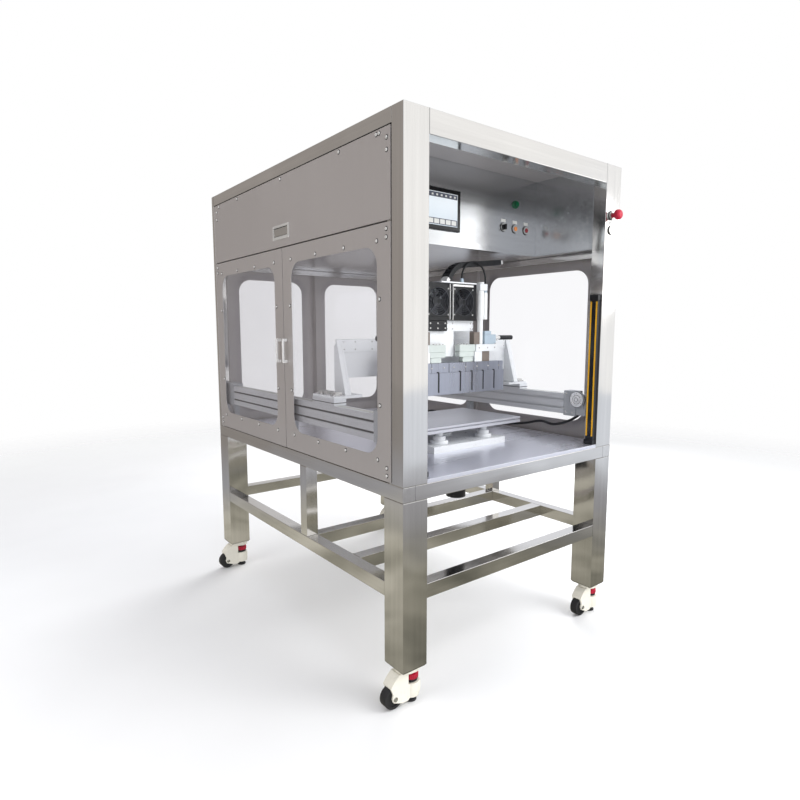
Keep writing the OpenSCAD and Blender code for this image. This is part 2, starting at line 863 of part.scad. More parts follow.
// Posts and stepped rails that hold one end of the comb to its lifting rod
module clamp() {
    low = bar_z1 + weld;
    high = rail_z1 + weld;
    block([column_x - 46, head_y - 17, low], [column_x - 2, head_y + 15, rail_z0 - weld]);
    block([column_x + 4, head_y - 9, low], [column_x + 52, head_y + 15, rail_z0 - weld]);
    block([column_x - 112, head_y - 13, low], [column_x - 52, head_y + 15, low + 22]);
    block([column_x - 134, head_y - 15, low + 22 + weld],
          [column_x - 47, head_y + 17, rail_z0 - weld]);
    block([column_x - 134, head_y - 15, rail_z0], [column_x - 40, head_y + 17, rail_z1]);
    block([column_x - 39.9, head_y - 19, rail_z0], [column_x + 100, head_y + 17, rail_z1]);
    translate([column_x, head_y, high]) cylinder(r = rod_r, h = 1440 - rail_z1);
    block([column_x - 48, head_y - 13, high], [column_x - 14, head_y + 15, 1236]);
    // Air fitting with a throttle knob
    block([column_x + 20, head_y - 11, high], [column_x + 90, head_y + 15, 1226]);
    block([column_x + 20, head_y - 11, 1226.1], [column_x + 60, head_y + 15, 1241]);
    translate([column_x + 90.1, head_y + 2, 1212]) rotate([0, 90, 0]) cylinder(r = 8, h = 34);
    translate([column_x + 124.2, head_y + 2, 1212]) rotate([0, 90, 0]) cylinder(r = 10, h = 80);
}

// Point beside the chain's centre line where its direction is `a`, at distance r from the turn's centre
function chain_point(a, r) = [chain_cx - r * sin(a), chain_cz + r * cos(a)];

module cable_chain() {
    far = (chain_end_x - chain_cx) / cos(chain_slope) + 16;
    bend = chain_slope - chain_rise;
    angles = [for (i = [0:chain_steps]) chain_rise + bend * i / chain_steps];
    outer = chain_turn + chain_t / 2;
    inner = chain_turn - chain_t / 2;
    down = chain_low * [cos(chain_rise), sin(chain_rise)];
    on = far * [cos(chain_slope), sin(chain_slope)];
    outline = concat(
        [chain_point(chain_rise, outer) - down],
        [for (a = angles) chain_point(a, outer)],
        [chain_point(chain_slope, outer) + on, chain_point(chain_slope, inner) + on],
        [for (i = [chain_steps:-1:0]) chain_point(angles[i], inner)],
        [chain_point(chain_rise, inner) - down]
    );
    color("#1a1a1c")
    translate([0, chain_y0 + chain_w, 0]) rotate([90, 0, 0]) linear_extrude(chain_w)
        intersection() {
            polygon(outline);
            translate([-200, chain_z0]) square([chain_end_x + 200, 200]);
        }
}

// Hose that rises from the head, loops over the lift cylinder and ends on its sensor rail
module air_hose() {
    end_x = hose_x0 + 2 * hose_bend;
    color("#141416") {
        translate([hose_x0, head_y, chain_z0]) cylinder(r = hose_r, h = hose_bend_z - chain_z0);
        translate([hose_x0 + hose_bend, head_y, hose_bend_z]) rotate([90, 0, 0])
            rotate_extrude(angle = 180) translate([hose_bend, 0]) circle(r = hose_r);
        translate([end_x, head_y, sensor_z1 + weld])
            cylinder(r = hose_r, h = hose_bend_z - sensor_z1 - weld);
    }
}

// ---------------------------------------------------------------- platform

// A shallow folded box on the floor, with stepped pillars that carry the platen
module platform_base() {
    color("#c9cccf") {
        difference() {
            block([-base_x, base_y0, floor_top], [base_x, base_y1, base_z1]);
            block([-base_x + base_sheet, base_y0 + base_sheet, floor_top - through],
                  [base_x - base_sheet, base_y1 - base_sheet, base_z1 - base_sheet]);
        }
        for (spot = pillar_spots) pillar(spot, pillar_r, base_z1, platen_under);
        pillar([0, 467], middle_pillar_r, base_z1, platen_under);
    }
}

module pillar(spot, r, z0, z1) {
    translate([spot.x, front + spot.y, z0 + weld]) {
        cylinder(r = r, h = 14);
        cylinder(r = 0.72 * r, h = 30);
        cylinder(r = 0.45 * r, h = z1 - z0 - 2 * weld);
    }
}

// A thick carrier plate, a recessed spacer and the top plate
module platen() {
    x = platen_w / 2;
    y1 = platen_y0 + platen_d;
    color("#9a9ca0") {
        block([-x, platen_y0, platen_under], [x, y1, platen_z - 12]);
        block([-x + 8, platen_y0 + 8, platen_z - 12.5], [x - 8, y1 - 8, platen_z - 7.5]);
        block([-x, platen_y0, platen_z - 8], [x, y1, platen_z]);
    }
}

// The drive under the deck that the platform stands over
module platform_motor() {
    x = 35;
    y = front + 395;
    color("#1d1e20") {
        block([x - 50, y - 50, deck_under + 20], [x + 50, y + 50, deck_z - 3]);
        translate([x, y, deck_under + 20.1 - 190]) cylinder(r = 42, h = 189.8);
    }
}

// ---------------------------------------------------------------- casters
// A caster is drawn with its swivel axis at the origin and its wheel trailing towards -x.

module caster_plates() {
    color("#e8e6dc")
    for (spot = caster_spots)
        translate([spot.x * (hw - leg / 2), spot.y * (hd - leg / 2), 0]) {
            block([-46, -46, leg_bottom - 5], [46, 46, leg_bottom]);
            translate([0, 0, swivel_z0]) cylinder(r = kingpin_r, h = leg_bottom - 5 - swivel_z0 + 1);
        }
}

// Side view of the moulded housing: a hood over the wheel, cheeks down to the axle, and a heel
module housing_outline() {
    polygon([
        [-44, 119], [-62, 103], [-77, 84], [-74, 74], [-68, 58], [-71, 42], [-67, 31], [-56, 26],
        [-30, 16], [-6, 16], [0, boss_z0], [40, boss_z0], [46, 40], [46, 119]
    ]);
}

module caster_fork() {
    body_y = cheek_y + cheek_t;
    pocket_r = wheel_r + 2.5;
    color("#efece2")
    difference() {
        union() {
            translate([0, 0, swivel_z0 + 2]) cylinder(r = 38, h = swivel_z1 - swivel_z0 - 2);
            translate([foot_offset, 0, boss_z0]) cylinder(r = boss_r, h = swivel_z0 - boss_z0 + 4);
            translate([0, body_y, 0]) rotate([90, 0, 0])
                linear_extrude(2 * body_y) housing_outline();
        }
        // Pocket of the wheel, open towards the floor and away from the foot
        translate([-wheel_trail, cheek_y, axle_z]) rotate([90, 0, 0])
            linear_extrude(2 * cheek_y) {
                circle(r = pocket_r);
                translate([-pocket_r, -pocket_r - 10]) square([pocket_r, pocket_r + 10]);
                translate([-pocket_r, -pocket_r - 10]) square([pocket_r + 24, 24]);
            }
        // Window round the thumbwheel, open at the heel
        translate([foot_offset, 0, window_cut_z0])
            cylinder(r = thumb_r + 1, h = window_cut_z1 - window_cut_z0);
        translate([-5, -boss_r - through, window_cut_z0])
            cube([2 * boss_r, 2 * boss_r + 2, window_cut_z1 - window_cut_z0]);
        translate([foot_offset, 0, 0]) cylinder(r = stem_r + fit, h = 113);
        translate([0, 0, swivel_z0 - 2]) cylinder(r = kingpin_r + fit, h = 30);
        translate([-wheel_trail, 2 * body_y, axle_z]) rotate([90, 0, 0])
            cylinder(r = axle_r + fit, h = 4 * body_y);
    }
}

module caster_wheel() {
    dish = 3;
    axle = cheek_y + cheek_t - 0.1;
    color("#1b1b1d")
    translate([-wheel_trail, 0, axle_z]) rotate([90, 0, 0]) {
        difference() {
            translate([0, 0, -wheel_w / 2]) cylinder(r = wheel_r, h = wheel_w);
            for (side = [0, 1]) mirror([0, 0, side])
                translate([0, 0, wheel_w / 2 - dish]) difference() {
                    cylinder(r = wheel_r - 9, h = dish + through);
                    cylinder(r = 9, h = dish + through);
                }
        }
        translate([0, 0, -axle]) cylinder(r = axle_r, h = 2 * axle);
    }
}

// Rubber pad, threaded stem and the thumbwheel that raises and lowers them
module levelling_foot() {
    color("#b01f2e")
    translate([foot_offset, 0, 0]) {
        cylinder(r = pad_r, h = 8);
        cylinder(r = 0.7 * pad_r, h = 12);
        cylinder(r = stem_r, h = 104);
        translate([0, 0, hub_z0]) cylinder(r = 17, h = thumb_z0 - hub_z0 + through);
        translate([0, 0, thumb_z0]) cylinder(r = thumb_r, h = thumb_z1 - thumb_z0);
    }
}

module at_caster(i) {
    spot = caster_spots[i];
    translate([spot.x * (hw - leg / 2), spot.y * (hd - leg / 2), 0]) children();
}

// ---------------------------------------------------------------- the part

legs();
deck_frame();
lower_rails();
upper_frame();
floor_tray();
fixed_panels();
control_panel();
touch_screen();
pilot_lamp();
control_bezels();
light_curtains();
door_pivots();
module_profiles();
module_ends();
platform_base();
platen();
platform_motor();
caster_plates();

place_left_front() door_leaf(side_door_w);  // left_front_door
place_left_rear() door_leaf(side_door_w);  // left_rear_door
mirror([1, 0, 0]) place_left_front() door_leaf(side_door_w);  // right_front_door
mirror([1, 0, 0]) place_left_rear() door_leaf(side_door_w);  // right_rear_door
place_back_left() door_leaf(back_door_w);  // back_left_door
mirror([1, 0, 0]) place_back_left() door_leaf(back_door_w);  // back_right_door

place_left_front() door_pane(side_door_w);  // left_front_window
place_left_rear() door_pane(side_door_w);  // left_rear_window
mirror([1, 0, 0]) place_left_front() door_pane(side_door_w);  // right_front_window
mirror([1, 0, 0]) place_left_rear() door_pane(side_door_w);  // right_rear_window
place_back_left() door_pane(back_door_w);  // back_left_window
mirror([1, 0, 0]) place_back_left() door_pane(back_door_w);  // back_right_window

flap_leaf();  // left_flap
mirror([1, 0, 0]) flap_leaf();  // right_flap
latch_paddle();  // left_latch
mirror([1, 0, 0]) latch_paddle();  // right_latch

for (i = [0:3]) {
    at_caster(i) caster_fork();
    at_caster(i) caster_wheel();
    at_caster(i) levelling_foot();
}

estop_button();
push_button(post_x, front, white_z, "#e9e9e6");  // white_button
push_button(orange_x, panel_y, control_z, "#e07a2c");  // orange_button
push_button(red_x, panel_y, control_z, "#a3242c");  // red_button
selector_switch();

gantry_carriages();
gantry_beam();
fan_box();
fan_rotor(-fan_x);  // left_fan
fan_rotor(fan_x);  // right_fan
lift_cylinders();
press_bar();
cable_chain();
air_hose();
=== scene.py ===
"""Looks of an enclosed capsule filling press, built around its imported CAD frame. Metres, +Z up."""

import math

import bmesh
import bpy
from mathutils import Matrix, Vector


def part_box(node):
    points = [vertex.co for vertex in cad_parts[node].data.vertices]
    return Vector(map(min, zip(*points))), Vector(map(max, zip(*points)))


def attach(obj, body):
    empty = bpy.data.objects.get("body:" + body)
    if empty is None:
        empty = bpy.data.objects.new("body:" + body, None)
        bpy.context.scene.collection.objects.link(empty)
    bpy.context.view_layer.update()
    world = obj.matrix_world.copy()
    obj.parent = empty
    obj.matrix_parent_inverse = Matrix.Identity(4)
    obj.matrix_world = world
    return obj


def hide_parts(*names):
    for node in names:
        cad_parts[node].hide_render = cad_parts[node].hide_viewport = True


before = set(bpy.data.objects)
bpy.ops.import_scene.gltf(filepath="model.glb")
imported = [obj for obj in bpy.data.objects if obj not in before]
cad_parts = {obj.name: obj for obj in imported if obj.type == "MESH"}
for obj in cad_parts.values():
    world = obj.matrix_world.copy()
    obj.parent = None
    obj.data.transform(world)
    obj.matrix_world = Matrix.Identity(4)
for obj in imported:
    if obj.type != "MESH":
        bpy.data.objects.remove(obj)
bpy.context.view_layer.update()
scene = bpy.context.scene

SIDES = (("left", -1), ("right", 1))
CORNERS = ("front_left", "front_right", "rear_left", "rear_right")

# ---- camera

camera_data = bpy.data.cameras.new("camera")
camera_data.lens = 25.78
camera_data.clip_start = 0.05
camera_data.clip_end = 100
camera = bpy.data.objects.new("camera", camera_data)
camera.location = (-1.6351, -2.1332, 1.2404)
camera.rotation_euler = (math.radians(83.137), 0, math.radians(-37.860))
scene.collection.objects.link(camera)
scene.camera = camera

# ---- colours and node helpers


def srgb(r, g, b):
    """A linear colour from 0-255 display values."""
    def channel(v):
        v /= 255
        return v / 12.92 if v <= 0.04045 else ((v + 0.055) / 1.055) ** 2.4
    return (channel(r), channel(g), channel(b), 1.0)


def shade(colour, factor):
    return tuple(min(1.0, c * factor) for c in colour[:3]) + (1.0,)


class Nodes:
    """Short names for adding and linking shader nodes in one tree."""

    def __init__(self, tree):
        self.tree = tree

    def add(self, kind, **inputs):
        node = self.tree.nodes.new(kind)
        for key, value in inputs.items():
            self.feed(node.inputs[key], value)
        return node

    def feed(self, socket, value):
        if isinstance(value, bpy.types.NodeSocket):
            self.tree.links.new(value, socket)
        else:
            socket.default_value = value

    def operate(self, kind, operation, a, b):
        node = self.tree.nodes.new(kind)
        node.operation = operation
        self.feed(node.inputs[0], a)
        self.feed(node.inputs[1], b)
        return node

    def math(self, operation, a, b=0.0):
        return self.operate("ShaderNodeMath", operation, a, b).outputs[0]

    def vector(self, operation, a, b=(0.0, 0.0, 0.0)):
        result = "Value" if operation in ("DOT_PRODUCT", "LENGTH") else "Vector"
        return self.operate("ShaderNodeVectorMath", operation, a, b).outputs[result]

    def mix(self, kind, factor, a, b):
        node = self.tree.nodes.new("ShaderNodeMix")
        node.data_type = kind
        first = {"FLOAT": 2, "VECTOR": 4, "RGBA": 6}[kind]
        self.feed(node.inputs[0], factor)
        self.feed(node.inputs[first], a)
        self.feed(node.inputs[first + 1], b)
        return node.outputs[{"FLOAT": 0, "VECTOR": 1, "RGBA": 2}[kind]]

    def noise(self, vector, scale, detail=3.0, roughness=0.55):
        node = self.add("ShaderNodeTexNoise", Vector=vector, Scale=scale, Detail=detail,
                        Roughness=roughness)
        return node.outputs["Fac"]

    def remap(self, value, lo, hi, from_lo=0.3, from_hi=0.7):
        ends = {"From Min": from_lo, "From Max": from_hi, "To Min": lo, "To Max": hi}
        return self.add("ShaderNodeMapRange", Value=value, **ends).outputs[0]

    def ramp(self, value, *stops):
        node = self.tree.nodes.new("ShaderNodeValToRGB")
        self.feed(node.inputs[0], value)
        elements = node.color_ramp.elements
        while len(elements) < len(stops):
            elements.new(0.5)
        for element, (position, colour) in zip(elements, stops):
            element.position = position
            element.color = colour
        return node.outputs[0]

    def mix_surfaces(self, factor, a, b, output):
        node = self.add("ShaderNodeMixShader", Fac=factor)
        self.feed(node.inputs[1], a.outputs[0])
        self.feed(node.inputs[2], b.outputs[0])
        self.feed(self.tree.nodes[output].inputs["Surface"], node.outputs[0])

    def bump(self, height, strength, distance, below=None):
        node = self.add("ShaderNodeBump", Strength=strength, Distance=distance, Height=height)
        if below is not None:
            self.feed(node.inputs["Normal"], below)
        return node.outputs[0]


def new_material(name, metallic=0.0, **sockets):
    """A Principled material, with its constant values set on the shader's own sockets."""
    mat = bpy.data.materials.new(name)
    mat.use_nodes = True
    shader = mat.node_tree.nodes["Principled BSDF"]
    shader.inputs["Metallic"].default_value = metallic
    for key, value in sockets.items():
        shader.inputs[key.replace("_", " ")].default_value = value
    return mat, Nodes(mat.node_tree), shader


def object_coords(n):
    return n.add("ShaderNodeTexCoord").outputs["Object"]


def clouded(n, value, display, tint):
    """A display colour, a little darker and lighter in places."""
    colour = srgb(*display)
    return n.ramp(value, (0.3, shade(colour, 1 - tint)), (0.7, shade(colour, 1 + tint)))


def brushed(name, colour, rough, direction="z", metallic=1.0, tint=0.16, wave=0.12, fine=0.05):
    """Sheet or tube metal with grain along one axis, or along a vector given by a function."""
    mat, n, shader = new_material(name, metallic)
    coords = object_coords(n)
    if callable(direction):
        grain = direction(n, coords)
    else:
        grain = tuple(1.3 if axis == direction else 60.0 for axis in "xyz")
    stretched = n.vector("MULTIPLY", coords, grain)
    streaks = n.noise(stretched, 1.0, 4.0, 0.6)
    hairs = n.noise(stretched, 7.0, 2.0, 0.7)
    clouds = n.noise(coords, 2.3, 2.0, 0.5)
    both = n.math("MULTIPLY_ADD", streaks, 0.6)
    n.feed(both.node.inputs[2], n.math("MULTIPLY", clouds, 0.4))
    n.feed(shader.inputs["Base Color"], clouded(n, both, colour, tint))
    n.feed(shader.inputs["Roughness"], n.remap(both, rough * 0.75, rough * 1.3))
    waves = n.bump(n.noise(coords, 5.0, 1.0, 0.4), wave, 0.01)
    n.feed(shader.inputs["Normal"], n.bump(hairs, fine, 0.0004, waves))
    return mat


def painted(name, colour, rough=0.4, grain=900.0, fine=0.12, tint=0.06, **sockets):
    """Paint, plastic or rubber: a fine texture, faint clouds of colour and scuffed gloss."""
    mat, n, shader = new_material(name, **sockets)
    coords = object_coords(n)
    clouds = n.noise(coords, 9.0, 4.0, 0.6)
    n.feed(shader.inputs["Base Color"], clouded(n, clouds, colour, tint))
    scuffs = n.noise(coords, 60.0, 3.0, 0.7)
    n.feed(shader.inputs["Roughness"], n.remap(scuffs, rough * 0.85, rough * 1.15))
    n.feed(shader.inputs["Normal"], n.bump(n.noise(coords, grain, 2.0, 0.6), fine, 0.0003))
    return mat


def between(n, value, lo, hi):
    return n.math("MULTIPLY", n.math("GREATER_THAN", value, lo), n.math("LESS_THAN", value, hi))


def grain_of_frame(n, coords):
    """Grain along each tube of the frame: up the posts, along the rails."""
    split = n.add("ShaderNodeSeparateXYZ", Vector=coords)
    x = n.math("ABSOLUTE", split.outputs["X"])
    y, z = split.outputs["Y"], split.outputs["Z"]
    side = n.math("GREATER_THAN", x, SIDE_X)
    low = between(n, z, RAIL_TOP, DECK_UNDER)
    high = n.math("MULTIPLY", n.math("GREATER_THAN", z, DECK_TOP),
                  n.math("MAXIMUM", n.math("LESS_THAN", y, FRONT_POST_Y),
                         n.math("GREATER_THAN", y, REAR_POST_Y)))
    high = n.math("MULTIPLY", high, n.math("GREATER_THAN", x, POST_X))
    upright = n.math("MAXIMUM", low, high)
    along = n.mix("VECTOR", side, (1.3, 60.0, 60.0), (60.0, 1.3, 60.0))
    return n.mix("VECTOR", upright, along, (60.0, 60.0, 1.3))


frame_lo, frame_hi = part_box("upper_frame")
deck_lo, deck_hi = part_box("deck_frame")
HALF_W, FRONT, BACK = frame_hi.x, frame_lo.y, frame_hi.y
DECK_UNDER, DECK_TOP = deck_lo.z, deck_hi.z
# where the grain of the frame changes direction: tube faces, a hair further in
SIDE_X, POST_X = HALF_W - 0.0501, HALF_W - 0.1001
FRONT_POST_Y, REAR_POST_Y = FRONT + 0.0581, BACK - 0.0251
RAIL_TOP = 0.418

# ---- materials

STEEL = (224, 222, 219)
FRAME = brushed("polished_frame_steel", STEEL, 0.11, grain_of_frame, tint=0.07, wave=0.42,
                fine=0.03)
LEG = brushed("polished_leg_steel", STEEL, 0.1, "z", tint=0.07, wave=0.45, fine=0.03)
TRAY = brushed("floor_sheet_steel", (236, 237, 246), 0.3, "x", 0.85, 0.02, 0.04, 0.0)
DOOR = brushed("satin_door_steel", (188, 183, 181), 0.42, "z", 0.6, 0.04, 0.05, 0.06)
PANEL = brushed("satin_panel_steel", (208, 210, 212), 0.22, "x", 1.0, 0.05, 0.08, 0.03)
BRIGHT = brushed("turned_bright_metal", (215, 215, 212), 0.22, "y", tint=0.08, wave=0.0)
ALUMINIUM = brushed("anodised_aluminium", (228, 230, 233), 0.34, "y", 0.55, 0.08, 0.0)
COMB = brushed("bluish_aluminium", (163, 167, 180), 0.3, "z", 0.7, 0.1, 0.03)
PLATEN = brushed("ground_platen_steel", (194, 195, 202), 0.4, "x", 0.55, 0.12, 0.03)
CAST = painted("cast_grey_aluminium", (184, 187, 191), 0.42, 500, 0.3, metallic=0.4)
WHITE = painted("white_powder_coat", (232, 233, 232), 0.38, 1400, 0.2, 0.03)
WHITE_PLATE = painted("white_machined_plate", (224, 226, 228), 0.3, 900, 0.08, 0.03)
PALE_GREEN = painted("pale_green_blocks", (194, 202, 198), 0.4, 900, 0.1, 0.04)
BROWN = painted("grey_brown_coupling", (118, 108, 101), 0.5, 700, 0.25, 0.1)
BLACK_METAL = painted("black_anodised", (24, 24, 28), 0.38, 900, 0.12, 0.15)
BLACK = painted("black_plastic", (26, 27, 29), 0.42, 1100, 0.2, 0.15)
GLOSS_BLACK = painted("glossy_black_plastic", (18, 19, 21), 0.16, 300, 0.03, 0.1)
RUBBER = painted("black_rubber", (34, 34, 36), 0.5, 800, 0.3, 0.2)
CREAM = painted("cream_enamel", (226, 222, 209), 0.3, 500, 0.12, 0.03)
RED = painted("red_plastic", (172, 22, 50), 0.34, 700, 0.08, 0.08)
DEEP_RED = painted("deep_red_plastic", (148, 48, 56), 0.35, 700, 0.08, 0.08)
ORANGE = painted("orange_plastic", (222, 138, 78), 0.32, 700, 0.08, 0.06)
IVORY = painted("ivory_plastic", (232, 230, 222), 0.32, 700, 0.08, 0.03)
YELLOW = painted("yellow_stripe", (232, 172, 20), 0.35, 700, 0.05, 0.05)
BLUE = painted("light_blue_fitting", (172, 187, 199), 0.3, 700, 0.05, 0.05)
GREEN = painted("green_lens", (8, 84, 52), 0.12, 200, 0.05, 0.1, Coat_Weight=0.6)
HANDLE = brushed("bright_handle_steel", (240, 239, 237), 0.3, "z", 0.35, 0.04, 0.0)
SCREW_STEEL = brushed("screw_steel", (232, 231, 228), 0.24, "y", 0.6, 0.1, 0.0)
TURNED = brushed("turned_cover", (242, 243, 245), 0.28, "z", 0.3, 0.05, 0.0)
WIRE = brushed("guard_wire", (118, 120, 126), 0.3, "z", 0.8, 0.08, 0.0)
BELT = painted("cream_drive_belt", (196, 196, 190), 0.5, 1200, 0.3, 0.05)
TILE = painted("display_tiles", (88, 92, 104), 0.25, 700, 0.02, 0.1)
SATIN = painted("satin_bezel_metal", (206, 205, 202), 0.38, 700, 0.05, 0.05, metallic=0.5)
LABEL = painted("blank_label_film", (214, 214, 210), 0.3, 500, 0.03, 0.03)


def acrylic(name, haze, glare):
    """Clear sheet: see-through face on, glossier towards grazing, with faint smears."""
    mat, n, shader = new_material(name, 1.0)
    coords = object_coords(n)
    n.feed(shader.inputs["Base Color"],
           n.ramp(n.noise(coords, 3.0, 3.0, 0.6), (0.3, srgb(226, 226, 234)),
                  (0.7, srgb(240, 240, 246))))
    smears = n.noise(n.vector("MULTIPLY", coords, (6.0, 6.0, 2.0)), 1.0, 5.0, 0.65)
    n.feed(shader.inputs["Roughness"], n.remap(smears, 0.03, 0.12))
    clear = n.add("ShaderNodeBsdfTransparent", Color=srgb(253, 253, 254))
    facing = n.add("ShaderNodeLayerWeight", Blend=0.3).outputs["Facing"]
    n.mix_surfaces(n.remap(facing, haze, glare, 0.15, 1.0), clear, shader, "Material Output")
    return mat


ACRYLIC = acrylic("clear_acrylic", 0.01, 0.28)
HAZED_ACRYLIC = acrylic("hazed_acrylic", 0.09, 0.42)


def lit_screen():
    """A lit display: a cool gradient with a fine pixel raster."""
    mat, n, shader = new_material("lit_display", Roughness=0.2)
    coords = object_coords(n)
    split = n.add("ShaderNodeSeparateXYZ", Vector=coords)
    glow = n.remap(split.outputs["Z"], 0.0, 1.0, 1.64, 1.77)
    picture = n.ramp(glow, (0.0, srgb(176, 186, 194)), (1.0, srgb(226, 232, 236)))
    raster = n.add("ShaderNodeTexWave", Vector=coords, Scale=900.0).outputs["Fac"]
    tinted = n.mix("RGBA", n.math("MULTIPLY", raster, 0.06), picture, srgb(120, 130, 140))
    n.feed(shader.inputs["Base Color"], tinted)
    n.feed(shader.inputs["Emission Color"], tinted)
    shader.inputs["Emission Strength"].default_value = 0.35
    return mat


DISPLAY = lit_screen()

# ---- mesh helpers

SHARP = math.radians(38)
WIRE_RADIUS = 0.0008
HAIR = 0.00005  # the gap under a screw head
UP, FORWARD = (0, 0, 1), (0, -1, 0)
BOX_FACES = ((0, 1, 3, 2), (4, 6, 7, 5), (0, 4, 5, 1), (2, 3, 7, 6), (0, 2, 6, 4), (1, 5, 7, 3))


def centre_of(node):
    low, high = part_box(node)
    return [(a + b) / 2 for a, b in zip(low, high)]


def circle(count, start=0.0):
    """Cosine and sine of even angles; start shifts them by a share of one step."""
    angles = [2 * math.pi * (k + start) / count for k in range(count)]
    return [(math.cos(a), math.sin(a)) for a in angles]


def add_box(bm, lo, hi, place=Matrix()):
    corners = [bm.verts.new(place @ Vector((x, y, z))) for x in (lo[0], hi[0])
               for y in (lo[1], hi[1]) for z in (lo[2], hi[2])]
    for quad in BOX_FACES:
        bm.faces.new([corners[i] for i in quad])


def bridge(bm, low, high):
    """Quads between two closed loops of vertices."""
    for i in range(len(low)):
        j = (i + 1) % len(low)
        bm.faces.new((low[i], low[j], high[j], high[i]))


def facing(centre, normal):
    """Maps +Z onto a normal at a point."""
    turn = Vector(UP).rotation_difference(Vector(normal).normalized())
    return Matrix.Translation(Vector(centre)) @ turn.to_matrix().to_4x4()


def add_lathe(bm, profile, place, segments=32, lobes=0, depth=0.0):
    """Turns a profile of (radius, height) from its lower axis point to its upper one."""
    rings = []
    widest = max(radius for radius, _ in profile)
    closed = profile[0] == profile[-1] and profile[0][0] > 0
    for radius, height in profile[:-1] if closed else profile:
        if radius < 1e-7:
            rings.append([bm.verts.new(place @ Vector((0, 0, height)))])
            continue
        ring = []
        for i, (c, s) in enumerate(circle(segments)):
            notched = lobes and radius > 0.85 * widest and (i * lobes * 2 // segments) % 2
            r = radius - (depth if notched else 0.0)
            ring.append(bm.verts.new(place @ Vector((r * c, r * s, height))))
        rings.append(ring)
    for low, high in zip(rings, rings[1:] + rings[:1] if closed else rings[1:]):
        if len(low) == len(high):
            bridge(bm, low, high)
            continue
        for i in range(segments):
            j = (i + 1) % segments
            bm.faces.new((low[0], high[j], high[i]) if len(low) == 1 else
                         (low[i], low[j], high[0]))


def add_tube(bm, points, radius, sides=8, closed=False):
    """A round bar along points; its ends are capped unless it is a closed ring."""
    points = [Vector(p) for p in points]
    count = len(points)
    rings = []
    side = None
    for i, point in enumerate(points):
        before = points[i - 1] if closed or i else point
        after = points[(i + 1) % count] if closed or i + 1 < count else point
        along = (after - before).normalized()
        if side is None:
            side = along.orthogonal().normalized()
        side = (side - along * side.dot(along)).normalized()
        other = along.cross(side)
        rings.append([bm.verts.new(point + radius * (c * side + s * other))
                      for c, s in circle(sides)])
    for low, high in zip(rings, rings[1:] + rings[:1] if closed else rings[1:]):
        bridge(bm, low, high)
    if not closed:
        bm.faces.new(list(reversed(rings[0])))
        bm.faces.new(rings[-1])


def add_ring(bm, centre, axis, radius, count):
    """A closed ring of thin wire round the x axis (0) or the y axis (1) of its centre."""
    points = []
    for c, s in circle(count):
        point = list(centre)
        point[1 - axis] += radius * c
        point[2] += radius * s
        points.append(point)
    add_tube(bm, points, WIRE_RADIUS, 6, closed=True)


def smooth_path(points, steps=8):
    """A smooth curve through points (Catmull-Rom)."""
    points = [Vector(p) for p in points]
    padded = [points[0]] + points + [points[-1]]
    path = []
    for a, b, c, d in zip(padded, padded[1:], padded[2:], padded[3:]):
        for k in range(steps):
            t = k / steps
            path.append(0.5 * (2 * b + (c - a) * t + (2 * a - 5 * b + 4 * c - d) * t ** 2
                               + (3 * b - a - 3 * c + d) * t ** 3))
    return path + [points[-1]]


def round_edges(obj, width):
    rounding = obj.modifiers.new("rounding", "BEVEL")
    rounding.width = width
    rounding.segments = 2
    rounding.limit_method = "ANGLE"
    rounding.angle_limit = math.radians(40)
    rounding.harden_normals = True


def new_object(name, bm, mat):
    """An object in the scene with one material, from a mesh that is then let go."""
    mesh = bpy.data.meshes.new(name)
    bm.to_mesh(mesh)
    bm.free()
    mesh.materials.append(mat)
    obj = bpy.data.objects.new(name, mesh)
    scene.collection.objects.link(obj)
    return obj


def new_piece(name, bm, mat, body, slot, replaces=(), bevel=0.0):
    """A finished piece: soft shading with sharp creases, rounded edges and its body; the slot
    argument is not used.
    """
    bmesh.ops.recalc_face_normals(bm, faces=bm.faces)
    for face in bm.faces:
        face.smooth = True
    for edge in bm.edges:
        edge.smooth = not edge.is_manifold or edge.calc_face_angle(0.0) < SHARP
    piece = new_object(name, bm, mat)
    if bevel:
        round_edges(piece, bevel)
    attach(piece, body)
    if replaces:
        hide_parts(*replaces)
    return piece


def islands(bm):
    """The separate solids of a mesh, each as a list of vertices."""
    seen = set()
    for seed in bm.verts:
        if seed in seen:
            continue
        seen.add(seed)
        found = [seed]
        for vert in found:
            for edge in vert.link_edges:
                other = edge.other_vert(vert)
                if other not in seen:
                    seen.add(other)
                    found.append(other)
        yield found


def split_node(node, body, parts):
    """Stands copies of a CAD node's solids in its place, so that each group has its own finish.
    parts are (name, material, slot, bevel, test); a solid goes to the first test it passes."""
    groups = {part[0]: [] for part in parts}
    source = bmesh.new()
    source.from_mesh(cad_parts[node].data)
    source.transform(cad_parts[node].matrix_world)
    bmesh.ops.remove_doubles(source, verts=source.verts, dist=1e-5)
    for solid in islands(source):
        low = Vector([min(v.co[i] for v in solid) for i in range(3)])
        high = Vector([max(v.co[i] for v in solid) for i in range(3)])
        for name, _, _, _, test in parts:
            if test(low, high):
                groups[name].append(solid)
                break
    for number, (name, mat, slot, bevel, _) in enumerate(parts):
        bm, copies, faces = bmesh.new(), {}, {}
        for solid in groups[name]:
            for vert in solid:
                copies[vert] = bm.verts.new(vert.co)
                faces.update(dict.fromkeys(vert.link_faces))
        for face in faces:
            bm.faces.new([copies[v] for v in face.verts])
        new_piece(name, bm, mat, body, slot, () if number else (node,), bevel)
    source.free()
